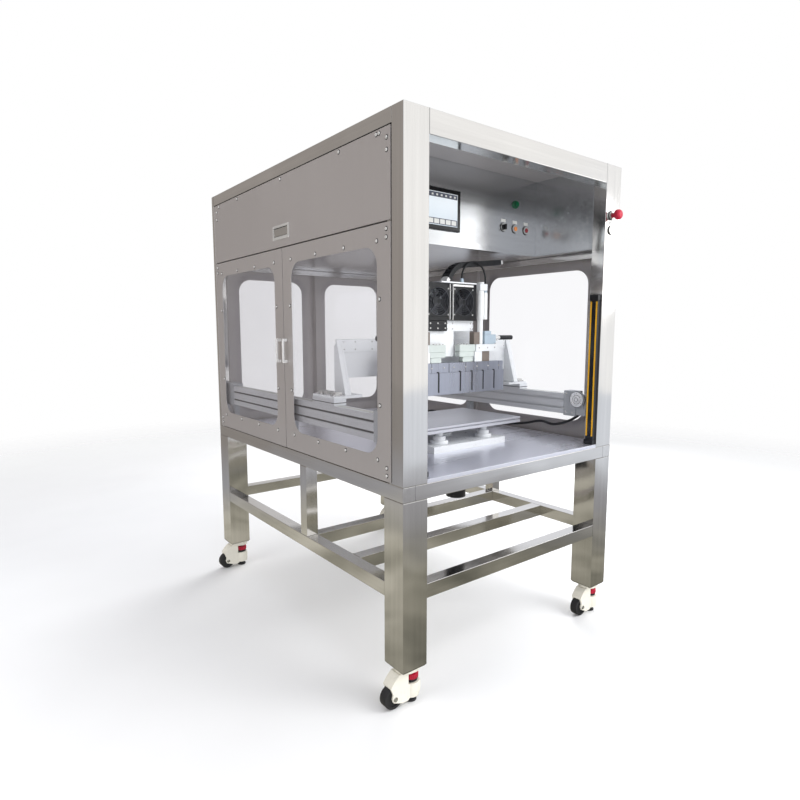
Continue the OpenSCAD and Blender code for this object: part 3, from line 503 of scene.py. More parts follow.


# radius and height of the sheet metal's screws and of the dark rings of painted shade under them,
# and outlines for a size of one
DOOR_SCREW = (0.0056, 0.003)
DOOR_SHADE_RING = (0.0078, 0.0006)
SCREW = ((0.0, 0.0), (1.0, 0.0), (1.0, 0.3), (0.86, 0.72), (0.55, 1.0), (0.42, 1.0), (0.36, 0.45),
         (0.0, 0.45))
SHADE_RING = ((0.0, 0.0), (1.0, 0.0), (1.0, 0.6), (0.94, 1.0), (0.0, 1.0))


def add_screws(bm, spots, normal, radius, height, outline=SCREW, segments=14):
    """Domed socket screws, or other turned heads, standing a hair off the sheet."""
    profile = [(r * radius, h * height) for r, h in outline]
    for spot in spots:
        add_lathe(bm, profile, facing(Vector(spot) + HAIR * Vector(normal), normal), segments)


def span(lo, hi, count, inset=0.0):
    step = (hi - lo - 2 * inset) / (count - 1)
    return [lo + inset + i * step for i in range(count)]


def sheet_screws(name, spots, normal, body, slot):
    """Domed screws of the sheet metal, each on a thin dark ring of painted shade that outlines its
    head.
    """
    shade_rings, screws = bmesh.new(), bmesh.new()
    add_screws(shade_rings, spots, normal, *DOOR_SHADE_RING, SHADE_RING, 20)
    new_piece(f"{name}_washers", shade_rings, BLACK_METAL, body, slot)
    raised = [Vector(spot) + (DOOR_SHADE_RING[1] + 0.0001) * Vector(normal) for spot in spots]
    add_screws(screws, raised, normal, *DOOR_SCREW)
    new_piece(f"{name}_screws", screws, SCREW_STEEL, body, slot)


# ---- the CAD nodes that stay

KEPT = {
    "legs": (LEG, 0.0035), "deck_frame": (FRAME, 0.003), "lower_rails": (FRAME, 0.003),
    "upper_frame": (FRAME, 0.003), "floor_tray": (TRAY, 0.0012), "fixed_panels": (DOOR, 0.0008),
    "control_panel": (PANEL, 0.0006), "touch_screen": (BLACK, 0.0015),
    "pilot_lamp": (GREEN, 0.0012), "control_bezels": (BRIGHT, 0.0008),
    "light_curtains": (BLACK_METAL, 0.0015), "door_pivots": (BRIGHT, 0.0006),
    "module_profiles": (ALUMINIUM, 0.0008), "module_ends": (CAST, 0.002),
    "platform_base": (WHITE_PLATE, 0.0012), "platen": (PLATEN, 0.0012),
    "platform_motor": (BLACK_METAL, 0.003), "caster_plates": (BRIGHT, 0.001),
    "gantry_carriages": (ALUMINIUM, 0.0015), "gantry_beam": (WHITE_PLATE, 0.001),
    "fan_box": (BLACK, 0.002), "lift_cylinders": (WHITE, 0.001), "air_hose": (BLACK, 0),
    "left_fan": (BLACK, 0), "right_fan": (BLACK, 0), "press_bar": (COMB, 0.001),
    "cable_chain": (BLACK, 0.001), "selector_switch": (BLACK, 0.001),
    "estop_button": (RED, 0.002), "white_button": (IVORY, 0.0015),
    "orange_button": (ORANGE, 0.0015), "red_button": (DEEP_RED, 0.0015),
}
for side, _ in SIDES:
    KEPT[f"{side}_flap"] = (DOOR, 0.0009)
    KEPT[f"{side}_latch"] = (BRIGHT, 0.0006)
for door in ("left_front", "left_rear", "right_front", "right_rear", "back_left", "back_right"):
    KEPT[f"{door}_door"] = (DOOR, 0.0009)
    KEPT[f"{door}_window"] = (HAZED_ACRYLIC if door.startswith("left") else ACRYLIC, 0)
for corner in CORNERS:
    KEPT[f"{corner}_fork"] = (CREAM, 0.0015)
    KEPT[f"{corner}_wheel"] = (RUBBER, 0.0025)
    KEPT[f"{corner}_foot"] = (RED, 0)


def finish_node(name, mat, bevel):
    """A better material on a CAD node, and rounded edges where it has sharp ones."""
    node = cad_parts[name]
    for material_slot in node.material_slots:
        material_slot.material = mat
    if not bevel:
        return
    weld = node.modifiers.new("weld", "WELD")
    weld.merge_threshold = 1e-5
    round_edges(node, bevel)


for node_name, (mat, bevel) in KEPT.items():
    finish_node(node_name, mat, bevel)

# ---- doors and flaps

PANE_LAP = 0.025  # how far a pane reaches under the leaf
SCREW_RING = 0.014  # from the edge of the opening to its ring of screws
HINGE_INSET = 0.022
LATCH_Y, LATCH_Z = FRONT + 0.722, 1.606  # the low corner of a latch plate
DOORS = {  # the axis that the door faces along, and which way
    "left_front": (0, -1), "left_rear": (0, -1), "right_front": (0, 1), "right_rear": (0, 1),
    "back_left": (1, 1), "back_right": (1, 1),
}


def on_door(axis, plane, u, z):
    return (plane, u, z) if axis == 0 else (u, plane, z)


def build_door(name, axis, side):
    """Leaf and bright handle, the ring of screws round the window, and the hinge screws."""
    body = f"{name}_door"
    split_node(body, body, (
        (f"{body}_leaf", DOOR, "door_steel", 0.0009, lambda lo, hi: hi.z - lo.z > 0.2),
        (f"{body}_handle", HANDLE, "door_steel", 0.002, lambda lo, hi: True),
    ))
    low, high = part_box(f"{name}_window")
    door_low, door_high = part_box(body)
    across = 1 - axis
    inset = PANE_LAP - SCREW_RING
    u0, u1 = low[across] + inset, high[across] - inset
    z0, z1 = low.z + inset, high.z - inset
    plane = side * (HALF_W if axis == 0 else BACK)
    normal = on_door(axis, side, 0, 0)
    spots = [(u, z) for u in span(u0, u1, 4, 0.014) for z in (z0, z1)]
    spots += [(u, z) for u in (u0, u1) for z in span(z0, z1, 2, 0.18)]
    hinge_at_low = name in ("left_front", "right_front", "back_left")
    edge = door_low[across] + HINGE_INSET if hinge_at_low else door_high[across] - HINGE_INSET
    spots += [(edge, z) for z in (door_low.z + 0.02, door_low.z + 0.045,
                                  door_high.z - 0.045, door_high.z - 0.02)]
    sheet_screws(body, [on_door(axis, plane, u, z) for u, z in spots], normal, body, "door_steel")


def build_flap(name, side):
    """Leaf and latch plate of a flap, with the screws of both."""
    body = f"{name}_flap"
    split_node(body, body, (
        (f"{body}_leaf", DOOR, "door_steel", 0.0009, lambda lo, hi: hi.y - lo.y > 0.5),
        (f"{name}_latch_plate", SATIN, "latch_steel", 0.0008, lambda lo, hi: True),
    ))
    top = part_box(body)[1].z
    spots = [(y, top - 0.012) for y in (0.120, 0.135, 0.352, 0.789, 1.225, 1.450)]
    spots += [(y, top - drop) for y in (0.082, 1.480) for drop in (0.032, 0.068)]
    sheet_screws(body, [(side * HALF_W, FRONT + y, z) for y, z in spots], (side, 0, 0), body,
                 "door_steel")
    bm = bmesh.new()
    corners = [(side * (HALF_W + 0.002), LATCH_Y + dy, LATCH_Z + dz)
               for dy in (0.004, 0.139) for dz in (0.004, 0.053)]
    add_screws(bm, corners, (side, 0, 0), 0.0026, 0.0012)
    new_piece(f"{name}_latch_screws", bm, SCREW_STEEL, body, "latch_steel")


for door_name, (door_axis, door_side) in DOORS.items():
    build_door(door_name, door_axis, door_side)
for side_name, side_sign in SIDES:
    build_flap(side_name, side_sign)

back_spots = [(x, BACK, z) for x in span(-0.5, 0.5, 6, 0.02) for z in (1.588, 1.837)]
sheet_screws("back_panel", back_spots, (0, 1, 0), "enclosure", "panel_steel")

# ---- controls

screen_lo, screen_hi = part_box("touch_screen")
PANEL_Y = screen_lo.y + 0.008


def build_screen():
    """A raised bezel round a lit display with plain tiles."""
    y, rim, edge, deep = screen_lo.y, 0.017, 0.003, 0.0022
    bm = bmesh.new()
    loops = []
    for inset, out in ((edge, 0.00005), (edge, deep), (rim, deep), (rim, 0.0004)):
        x0, x1, z0, z1 = (screen_lo.x + inset, screen_hi.x - inset, screen_lo.z + inset,
                          screen_hi.z - inset)
        loops.append([bm.verts.new((x, y - out, z))
                      for x, z in ((x0, z0), (x1, z0), (x1, z1), (x0, z1))])
    for near, far in zip(loops, loops[1:]):
        bridge(bm, near, far)
    bm.faces.new(loops[0])
    bm.faces.new(loops[-1])
    new_piece("screen_bezel", bm, GLOSS_BLACK, "enclosure", "screen_black", bevel=0.0006)
    display, bars, keys = bmesh.new(), bmesh.new(), bmesh.new()
    add_box(display, (x0, y - 0.0012, z0), (x1, y - 0.0005, z1))
    new_piece("screen_display", display, DISPLAY, "enclosure", "screen_black")
    for low, high in ((z1 - 0.02, z1 - 0.002), (z0 + 0.003, z0 + 0.026)):
        add_box(bars, (x0 + 0.002, y - 0.0015, low), (x1 - 0.002, y - 0.0012, high))
    for left in span(x0 + 0.006, x1 - 0.032, 6):
        add_box(keys, (left, y - 0.0018, z0 + 0.006), (left + 0.025, y - 0.0015, z0 + 0.023))
    for left in span(x0 + 0.006, x1 - 0.02, 8):
        add_box(keys, (left, y - 0.0018, z1 - 0.015), (left + 0.009, y - 0.0015, z1 - 0.008))
    new_piece("screen_bars", bars, TILE, "enclosure", "screen_black")
    new_piece("screen_keys", keys, LABEL, "enclosure", "screen_black")


# each control's face, bezel radius, and its label's half width, thickness and height above it
CONTROLS = dict.fromkeys(("selector_switch", "orange_button", "red_button"),
                         (PANEL_Y, 0.017, 0.014, 0.0014, 0.021))
CONTROLS["estop_button"] = (FRONT, 0.018, 0.013, 0.0016, 0.022)
CONTROLS["white_button"] = (FRONT, 0.017, 0.013, 0.0016, 0.022)
LABEL_TOP = 0.034


def build_labels_and_bezel_shade_rings():
    """Blank plates over the controls, and a thin black ring of painted shade round the foot of each
    bezel.
    """
    labels, bezel_shade_rings = bmesh.new(), bmesh.new()
    for node, (plane, bezel, half, thick, rise) in CONTROLS.items():
        x, _, z = centre_of(node)
        add_box(labels, (x - half, plane - thick, z + rise),
                (x + half, plane - 0.0001, z + LABEL_TOP))
        # a thin black ring of painted shade at the foot of the bezel
        inner, outer = bezel + 0.0001, bezel + 0.0019
        add_lathe(bezel_shade_rings, ((inner, 0.0001), (outer, 0.0001), (outer, 0.0011),
                            (outer - 0.0004, 0.0015), (inner, 0.0015), (inner, 0.0001)),
                  facing((x, plane, z), FORWARD), 40)
    new_piece("control_labels", labels, LABEL, "enclosure", "bezel_metal", bevel=0.0004)
    new_piece("control_gaskets", bezel_shade_rings, RUBBER, "enclosure", "bezel_metal")


def build_cap(name, node, mat, slot, segments, outline):
    """A turned cap in the place of a button; the outline follows its radius and length."""
    low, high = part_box(node)
    x, _, z = centre_of(node)
    bm = bmesh.new()
    add_lathe(bm, outline((high.x - low.x) / 2, high.y - low.y), facing((x, high.y, z), FORWARD),
              segments)
    new_piece(name, bm, mat, node, slot, (node,))


def button_outline(r, length):
    return ((0, 0), (r, 0), (r, length - 0.003), (r - 0.0006, length - 0.0012),
            (r - 0.002, length - 0.0004), (r * 0.55, length - 0.0001), (0, length - 0.0006))


def stop_outline(_, length):
    neck, head = 0.0095, 0.020
    rounding = ((0.002, 0.0222), (0, 0.0195), (0, 0.012), (0.0012, 0.007), (0.004, 0.0028),
                (0.009, 0.0006), (0.0105, 0.0012))
    return ((0, 0), (neck, 0), (neck, length - 0.0225),
            *((head - dr, length - dz) for dr, dz in rounding), (0, length - 0.0014))


def build_light_curtain_stripes():
    """Yellow edges and a dark lens on the inner faces of both light curtains."""
    low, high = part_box("light_curtains")
    z0, z1 = low.z + 0.035, high.z - 0.028
    for name, sign in SIDES:
        face = sign * (HALF_W - 0.1181)
        x0, x1 = sorted((face, face - sign * 0.0004))
        y0 = FRONT + (0.022 if sign < 0 else 0.008)
        y1 = y0 + 0.036
        stripes, lens = bmesh.new(), bmesh.new()
        for a, b in ((y0 + 0.001, y0 + 0.008), (y1 - 0.009, y1 - 0.002)):
            add_box(stripes, (x0, a, z0), (x1, b, z1))
        add_box(lens, (x0, y0 + 0.0095, z0), (x1, y1 - 0.0105, z1))
        for part, bm, mat in (("stripes", stripes, YELLOW), ("lens", lens, GLOSS_BLACK)):
            new_piece(f"{name}_curtain_{part}", bm, mat, "enclosure", "curtain_black",
                      bevel=0.0002)


build_screen()
build_labels_and_bezel_shade_rings()
for colour, button_mat in (("white", IVORY), ("orange", ORANGE), ("red", DEEP_RED)):
    build_cap(f"{colour}_button_cap", f"{colour}_button", button_mat, f"button_{colour}", 40,
              button_outline)
build_cap("estop_head", "estop_button", RED, "estop_red", 48, stop_outline)
build_light_curtain_stripes()

# ---- motion system

profile_lo, profile_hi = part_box("module_profiles")
MODULE_TOP = profile_hi.z
MODULE_HALF = 0.0225
MODULE_X = profile_hi.x - MODULE_HALF
GROOVE_Z, GROOVE_H, GROOVE_D = (0.022, 0.060), 0.008, 0.003
COVER_Y, COVER_Z = FRONT + 0.118, 0.945


def build_module_cable(floor_z):
    """The lead of the right module, clipped to the tray and leaving it through a grommet."""
    r, x = 0.006, 0.512
    lie = floor_z + r + 0.0002
    route = ((x, 0.372, floor_z + 0.001), (x, 0.345, floor_z + 0.016), (x, 0.30, floor_z + 0.019),
             (x, 0.24, lie), (x, 0.12, lie), (x, -0.05, lie), (x, -0.15, lie),
             (0.513, -0.33, floor_z + 0.03), (0.513, -0.44, floor_z + 0.055),
             (0.510, -0.52, floor_z + 0.05), (x, -0.60, floor_z + 0.075),
             (x, -0.655, floor_z + 0.11))
    cable = bmesh.new()
    add_tube(cable, smooth_path(route), r, 12)
    add_lathe(cable, ((0, 0.0001), (0.017, 0.0001), (0.017, 0.003), (0.0155, 0.005),
                      (0.0105, 0.0075), (0.0095, 0.011), (0, 0.012)),
              facing((x, 0.369, floor_z), UP), 32)
    new_piece("right_module_cable", cable, RUBBER, "enclosure", "housing_grey")
    clips, screws = bmesh.new(), bmesh.new()
    ring, half = r + 0.0002, 0.006
    for y in (0.18, -0.08):
        add_lathe(clips, ((ring, -half), (ring + 0.0014, -half), (ring + 0.0014, half),
                          (ring, half), (ring, -half)), facing((x, y, lie), (0, 1, 0)), 24)
        add_box(clips, (x - 0.024, y - half, floor_z + 0.0001),
                (x - 0.0055, y + half, floor_z + 0.0016))
        add_screws(screws, [(x - 0.0165, y, floor_z + 0.0016)], UP, 0.0036, 0.0024)
    new_piece("module_cable_clips", clips, BLACK_METAL, "enclosure", "housing_grey", bevel=0.0003)
    new_piece("module_cable_clip_screws", screws, SCREW_STEEL, "enclosure", "housing_grey")


def build_modules():
    """Belts, turned pulley covers with their screws and thin dark rings of painted shade, and dark
    strips of painted shade in the grooves of the profiles.
    """
    belts, covers, screws, groove_shade, rings = (bmesh.new() for _ in range(5))
    groove_x = MODULE_X + MODULE_HALF - GROOVE_D
    for _, sign in SIDES:
        x, inward = sign * MODULE_X, (-sign, 0, 0)
        add_box(belts, (x - 0.0125, profile_lo.y + 0.001, MODULE_TOP + 0.00003),
                (x + 0.0125, profile_hi.y - 0.001, MODULE_TOP + 0.0002))
        face = sign * (MODULE_X - MODULE_HALF - 0.013)
        add_lathe(covers, ((0, 0.00005), (0.033, 0.00005), (0.033, 0.0014), (0.0315, 0.002),
                           (0.024, 0.002), (0.023, 0.001), (0.014, 0.001), (0.0125, 0.0032),
                           (0.006, 0.0032), (0.0052, 0.0012), (0, 0.0012)),
                  facing((face, COVER_Y, COVER_Z), inward), 48)
        add_screws(screws, [(face - sign * 0.002, COVER_Y + 0.0277 * c, COVER_Z + 0.0277 * s)
                            for c, s in circle(6, 0.5)], inward, 0.0022, 0.0014)
        # thin dark rings of painted shade round the cover's edge and in its steps
        for radius, rise in ((0.0345, 0.0), (0.0192, 0.001), (0.0085, 0.0032)):
            add_ring(rings, (face - sign * rise, COVER_Y, COVER_Z), 0, radius, 48)
        block_face = sign * (MODULE_X - MODULE_HALF - 0.004)
        for y in (profile_lo.y - 0.045, profile_lo.y - 0.012, profile_hi.y + 0.014,
                  profile_hi.y + 0.08):
            add_screws(screws, [(block_face, y, z) for z in (0.884, 0.966)], inward, 0.0042, 0.003)
        # dark strips of painted shade at the bottom of each groove of the profile
        x0, x1 = sorted((sign * (groove_x + 0.0001), sign * (groove_x + 0.0003)))
        for z in (profile_lo.z + groove for groove in GROOVE_Z):
            add_box(groove_shade, (x0, profile_lo.y + 0.001, z + 0.0004),
                    (x1, profile_hi.y - 0.001, z + GROOVE_H - 0.0004))
    new_piece("drive_belts", belts, BELT, "enclosure", "profile_aluminium")
    new_piece("profile_groove_painted_shade", groove_shade, RUBBER, "enclosure", "profile_aluminium")
    new_piece("pulley_covers", covers, TURNED, "enclosure", "housing_grey")
    new_piece("pulley_cover_groove_shade", rings, BLACK_METAL, "enclosure", "housing_grey")
    new_piece("module_screws", screws, SCREW_STEEL, "enclosure", "housing_grey")
    build_module_cable(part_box("floor_tray")[1].z)


def build_fans():
    """Fan frames, wire guards, edge plates and the bracket. Returns the screws of the head."""
    box_lo, box_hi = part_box("fan_box")
    fan_x, _, fan_z = centre_of("right_fan")
    face, half, hole = box_lo.y, 0.0595, 0.0565
    frames, guards, screws = bmesh.new(), bmesh.new(), bmesh.new()
    for x in (-fan_x, fan_x):
        rim = []
        for c, s in circle(48, 0.5):
            reach = half / max(abs(c), abs(s))
            rim.append(((x + reach * c, fan_z + reach * s), (x + hole * c, fan_z + hole * s)))
        rows = [[frames.verts.new((spot[k][0], face - out, spot[k][1])) for spot in rim]
                for k, out in ((0, 0.0002), (0, 0.004), (1, 0.004), (1, 0.0002))]
        for near, far in zip(rows, rows[1:] + rows[:1]):
            bridge(frames, near, far)
        y = face - 0.0055
        for radius in (0.012, 0.021, 0.030, 0.039, 0.048, 0.056):
            add_ring(guards, (x, y, fan_z), 1, radius, 40)
        for c, s in circle(4, 0.5):
            add_tube(guards, [(x + r * c, y + 0.0012, fan_z + r * s) for r in (0.011, 0.072)],
                     0.0011, 6)
        corners = [(x + sx * 0.0525, face - 0.0041, fan_z + sz * 0.0525) for sx in (-1, 1)
                   for sz in (-1, 1)]
        add_screws(screws, corners, FORWARD, 0.0036, 0.0026)
    new_piece("fan_frames", frames, BLACK, "gantry", "fan_black", bevel=0.0006)
    new_piece("fan_guards", guards, WIRE, "gantry", "fan_black")
    edges, bracket = bmesh.new(), bmesh.new()
    top, foot = box_hi.z, box_lo.z
    for x in (-0.0095, 0.0075):
        add_box(edges, (x, face - 0.008, foot + 0.003), (x + 0.002, face - 0.0001, top - 0.003))
    add_box(edges, (0.012, face - 0.004, top - 0.012), (0.128, face - 0.0001, top - 0.004))
    new_piece("fan_edge_plates", edges, HANDLE, "gantry", "head_white", bevel=0.0004)
    add_box(bracket, (-0.118, face + 0.004, foot - 0.044), (-0.014, face + 0.0199, foot - 0.0005))
    new_piece("fan_bracket", bracket, BLACK_METAL, "gantry", "fan_black", bevel=0.002)
    add_screws(screws, [(x, face + 0.004, foot - dz) for x in (-0.106, -0.066, -0.026)
                        for dz in (0.012, 0.032)], FORWARD, 0.0038, 0.0024)
    add_screws(screws, [(x, face + 0.02, z) for x in (0.0, 0.03, 0.135, 0.148)
                        for z in (foot - 0.012, foot - 0.034)], FORWARD, 0.0034, 0.0022)
    return screws


SEAM_Z, FOOT_TOP = 0.9735, 1.0  # of the carriages


def build_carriage_details(screws):
    """Bolts (added to the head's), a dark sheet of painted shade in the seam, and blocks of both
    carriages, and the hose fittings.
    """
    gap_shade, blocks, collars = bmesh.new(), bmesh.new(), bmesh.new()
    for _, sign in SIDES:
        add_screws(screws, [(sign * x, FRONT + y, FOOT_TOP) for x in (0.502, 0.531)
                            for y in (0.458, 0.492, 0.55, 0.584)], UP, 0.0048, 0.005)
        add_screws(screws, [(sign * x, FRONT + 0.512, z) for x in (0.24, 0.32, 0.4, 0.45)
                            for z in (1.170, 1.199)], FORWARD, 0.003, 0.002)
        # a dark sheet of painted shade in the seam of the carriage
        x0, x1 = sorted((sign * 0.4885, sign * 0.5435))
        add_box(gap_shade, (x0, FRONT + 0.4395, SEAM_Z), (x1, FRONT + 0.6005, SEAM_Z + 0.003))
        x0, x1 = sorted((sign * 0.496, sign * 0.526))
        for y in (FRONT + 0.472, FRONT + 0.528, FRONT + 0.57):
            add_box(blocks, (x0, y - 0.014, FOOT_TOP), (x1, y + 0.014, FOOT_TOP + 0.013))
    new_piece("gantry_screws", screws, SCREW_STEEL, "gantry", "head_white")
    new_piece("carriage_gap_shade", gap_shade, RUBBER, "gantry", "carriage_black")
    new_piece("carriage_blocks", blocks, SATIN, "gantry", "head_white", bevel=0.0015)
    low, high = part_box("air_hose")
    for x, z in ((low.x + 0.004, low.z + 0.0369), (high.x - 0.004, low.z)):
        add_lathe(collars, ((0.0042, 0), (0.008, 0), (0.008, 0.006), (0.0072, 0.007),
                            (0.0072, 0.014), (0.006, 0.016), (0.0042, 0.016), (0.0042, 0)),
                  facing((x, centre_of("air_hose")[1], z), UP), 24)
    new_piece("hose_fittings", collars, BLUE, "gantry", "hose_black")


COMB_X = -0.024  # the middle of the comb


def build_press():
    """The comb, its stepped clamps, rods, couplings and air fittings, each in its own finish."""
    comb_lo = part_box("press_bar")[0]

    def near(low, high, x0, x1):
        return x0 < abs(low.x + high.x) / 2 < x1

    split_node("press_bar", "press", (
        ("press_comb", COMB, "press_aluminium", 0.0012, lambda lo, hi: hi.x - lo.x > 0.4),
        ("press_rods", WHITE, "cylinder_white", 0.001, lambda lo, hi: hi.z - lo.z > 0.15),
        ("press_couplings", BROWN, "press_aluminium", 0.0015,
         lambda lo, hi: near(lo, hi, 0.135, 0.147) and lo.z > 1.18),
        ("press_brown_posts", BROWN, "press_aluminium", 0.0012,
         lambda lo, hi: near(lo, hi, 0.19, 0.21) and hi.z < 1.16),
        ("press_green_blocks", PALE_GREEN, "press_aluminium", 0.004,
         lambda lo, hi: near(lo, hi, 0.07, 0.1) and hi.z < 1.19),
        ("press_clamp_rails", WHITE_PLATE, "head_white", 0.0015, lambda lo, hi: hi.z < 1.19),
        ("press_air_fittings", BLUE, "press_aluminium", 0.002,
         lambda lo, hi: near(lo, hi, 0.2, 0.24)),
        ("press_throttle_necks", HANDLE, "press_aluminium", 0.001,
         lambda lo, hi: near(lo, hi, 0.26, 0.3)),
        ("press_throttle_knobs", BLACK, "press_aluminium", 0.0015, lambda lo, hi: True),
    ))
    slot_shade_and_joints, screws = bmesh.new(), bmesh.new()
    face, foot, pitch = comb_lo.y, comb_lo.z, 0.068
    rail_top, rail_middle = 1.184, 1.169
    for side in (-1, 1):
        # dark boxes of painted shade inside the comb's slots; below, thin dark joint lines on the
        # top bar
        for i in range(4):
            x = COMB_X + side * (0.061 + i * pitch)
            add_box(slot_shade_and_joints, (x - 0.0038, face + 0.002, foot + 0.0102),
                    (x + 0.0038, face + 0.0215, foot + 0.0935))
        for i in range(5):
            x = COMB_X + side * (0.027 + pitch * i if i else 0.0005)
            add_box(slot_shade_and_joints, (x - 0.0008, face + 0.0058, foot + 0.0905),
                    (x + 0.0008, face + 0.0062, foot + 0.129))
        add_screws(screws, [(COMB_X + side * (0.027 + i * pitch), face + 0.006, foot + 0.11)
                            for i in range(5)], FORWARD, 0.0036, 0.003)
        add_screws(screws, [(side * x, y, rail_top) for x in (0.052, 0.086, 0.258)
                            for y in (face + 0.014, face + 0.034)], UP, 0.004, 0.004)
        add_screws(screws, [(side * x, face + 0.005, rail_middle) for x in (0.15, 0.2, 0.245)],
                   FORWARD, 0.0034, 0.0026)
    new_piece("press_slot_shade_and_joints", slot_shade_and_joints, RUBBER, "press", "press_aluminium")
    new_piece("press_screws", screws, SCREW_STEEL, "press", "press_aluminium")


def build_chain():
    """Links along the chain's path: two side plates and two crossbars each."""
    low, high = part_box("cable_chain")
    turn, cx, cz = 0.1, 0.094, 1.417
    rise, slope = math.radians(52), math.radians(6.5)
    first = Vector((cx - turn * math.sin(rise), 0, cz + turn * math.cos(rise)))
    last = Vector((cx - turn * math.sin(slope), 0, cz + turn * math.cos(slope)))
    base_length = (first.z - low.z) / math.sin(rise)
    arc_length = turn * (rise - slope)
    end_length = (high.x - 0.012 - last.x) / math.cos(slope)
    full = base_length + arc_length + end_length
    middle, half_w = (low.y + high.y) / 2, (high.y - low.y) / 2

    def at(s):
        if s < base_length:
            back = base_length - s
            return first - back * Vector((math.cos(rise), 0, math.sin(rise))), rise
        s -= base_length
        if s < arc_length:
            a = rise - s / turn
            return Vector((cx - turn * math.sin(a), 0, cz + turn * math.cos(a))), a
        s -= arc_length
        return last + s * Vector((math.cos(slope), 0, math.sin(slope))), slope

    def across(s):
        """Places a box square to the path, with its middle on it."""
        point, angle = at(s)
        point.y = middle
        return Matrix.Translation(point) @ Matrix.Rotation(-angle, 4, "Y")

    links, brackets, cables = bmesh.new(), bmesh.new(), bmesh.new()
    pitch, start = 0.0205, 0.02
    for k in range(int((full - start - 0.004) / pitch)):
        place = across(start + (k + 0.5) * pitch)
        edge = half_w - (0.0006 if k % 2 else 0.0)
        for y in (-edge, edge - 0.005):
            add_box(links, (-0.0125, y, -0.0105), (0.0125, y + 0.005, 0.0105), place)
        for z in (-0.0115, 0.0091):
            add_box(links, (-0.0055, -half_w + 0.0045, z), (0.0055, half_w - 0.0045, z + 0.0024),
                    place)
    new_piece("chain_links", links, BLACK, "gantry", "chain_black", ("cable_chain",), 0.0008)
    for s in (0.012, full - 0.012):
        add_box(brackets, (-0.011, -half_w + 0.002, -0.008), (0.011, half_w - 0.002, 0.008),
                across(s))
    new_piece("chain_end_brackets", brackets, HANDLE, "gantry", "chain_black", bevel=0.001)
    for offset in (-0.0105, 0.0, 0.0105):
        path = [at(s)[0] + Vector((0, middle + offset, 0)) for s in span(0.006, full - 0.006, 30)]
        add_tube(cables, path, 0.0048, 10)
    new_piece("chain_cables", cables, RUBBER, "gantry", "chain_black")


build_modules()
build_carriage_details(build_fans())
build_press()
build_chain()

# ---- casters

THREAD_PITCH = 0.0015435
CASTER_TRAIL = 0.059  # from the wheel's axle to the middle of the plate


def build_caster(corner):
    """Pad, threaded stem, hub and knurled thumbwheel of the foot, and the caps on the axle."""
    foot, wheel = f"{corner}_foot", f"{corner}_wheel"
    low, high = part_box(foot)
    x, y, _ = centre_of(foot)
    base = facing((x, y, low.z), UP)
    top = high.z - low.z
    thread = [(0, 0.0121)]
    for k in range(52):
        height = 0.0122 + k * THREAD_PITCH
        thread += [(0.0070, height), (0.0062, height + 0.0007)]
    thread = [p for p in thread if p[1] < top - 0.002] + [(0.0066, top - 0.001), (0, top)]
    for part, mat, profile, *shape in (
        ("pad", RUBBER, ((0, 0), (0.0195, 0), (0.021, 0.0012), (0.021, 0.006), (0.0195, 0.0078),
                         (0.0150, 0.0082), (0.0146, 0.0112), (0.0135, 0.012), (0, 0.012)), 40),
        ("stem", BRIGHT, thread, 20),
        ("hub", BLACK, ((0.0071, 0.0731), (0.0235, 0.0731), (0.0245, 0.0741), (0.0245, 0.0805),
                        (0.0235, 0.0819), (0.0071, 0.0819), (0.0071, 0.0731)), 40),
        ("thumbwheel", RED, ((0.0071, 0.082), (0.0245, 0.082), (0.0270, 0.0838),
                             (0.0270, 0.0992), (0.0245, 0.101), (0.0160, 0.101),
                             (0.0150, 0.0996), (0.0071, 0.0996), (0.0071, 0.082)), 96, 24, 0.0016),
    ):
        bm = bmesh.new()
        add_lathe(bm, profile, base, *shape)
        new_piece(f"{corner}_{part}", bm, mat, foot, "foot_red", (foot,) if part == "pad" else ())
    wheel_lo, wheel_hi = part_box(wheel)
    axle_x, _, axle_z = centre_of(wheel)
    caps, bolts = bmesh.new(), bmesh.new()
    for sign, axle_y in ((-1, wheel_lo.y), (1, wheel_hi.y)):
        add_lathe(caps, ((0, 0.0002), (0.0082, 0.0002), (0.0086, 0.0012), (0.0078, 0.0026),
                         (0.005, 0.0032), (0.0044, 0.0020), (0, 0.0020)),
                  facing((axle_x, axle_y, axle_z), (0, sign, 0)), 24)
    new_piece(f"{corner}_axle_caps", caps, BRIGHT, f"{corner}_caster", "caster_cream")
    pin_x = round(axle_x + CASTER_TRAIL, 4)
    add_screws(bolts, [(pin_x + sx * 0.037, y + sy * 0.037, 0.133) for sx in (-1, 1)
                       for sy in (-1, 1)], (0, 0, -1), 0.006, 0.004)
    new_piece(f"{corner}_plate_bolts", bolts, SCREW_STEEL, "enclosure", "caster_cream")


for corner_name in CORNERS:
    build_caster(corner_name)

# ---- stage and light

FLOOR_HALF = 9


def new_floor(name, mat):
    bm = bmesh.new()
    bmesh.ops.create_grid(bm, x_segments=4, y_segments=4, size=FLOOR_HALF)
    floor = new_object(name, bm, mat)
    return floor


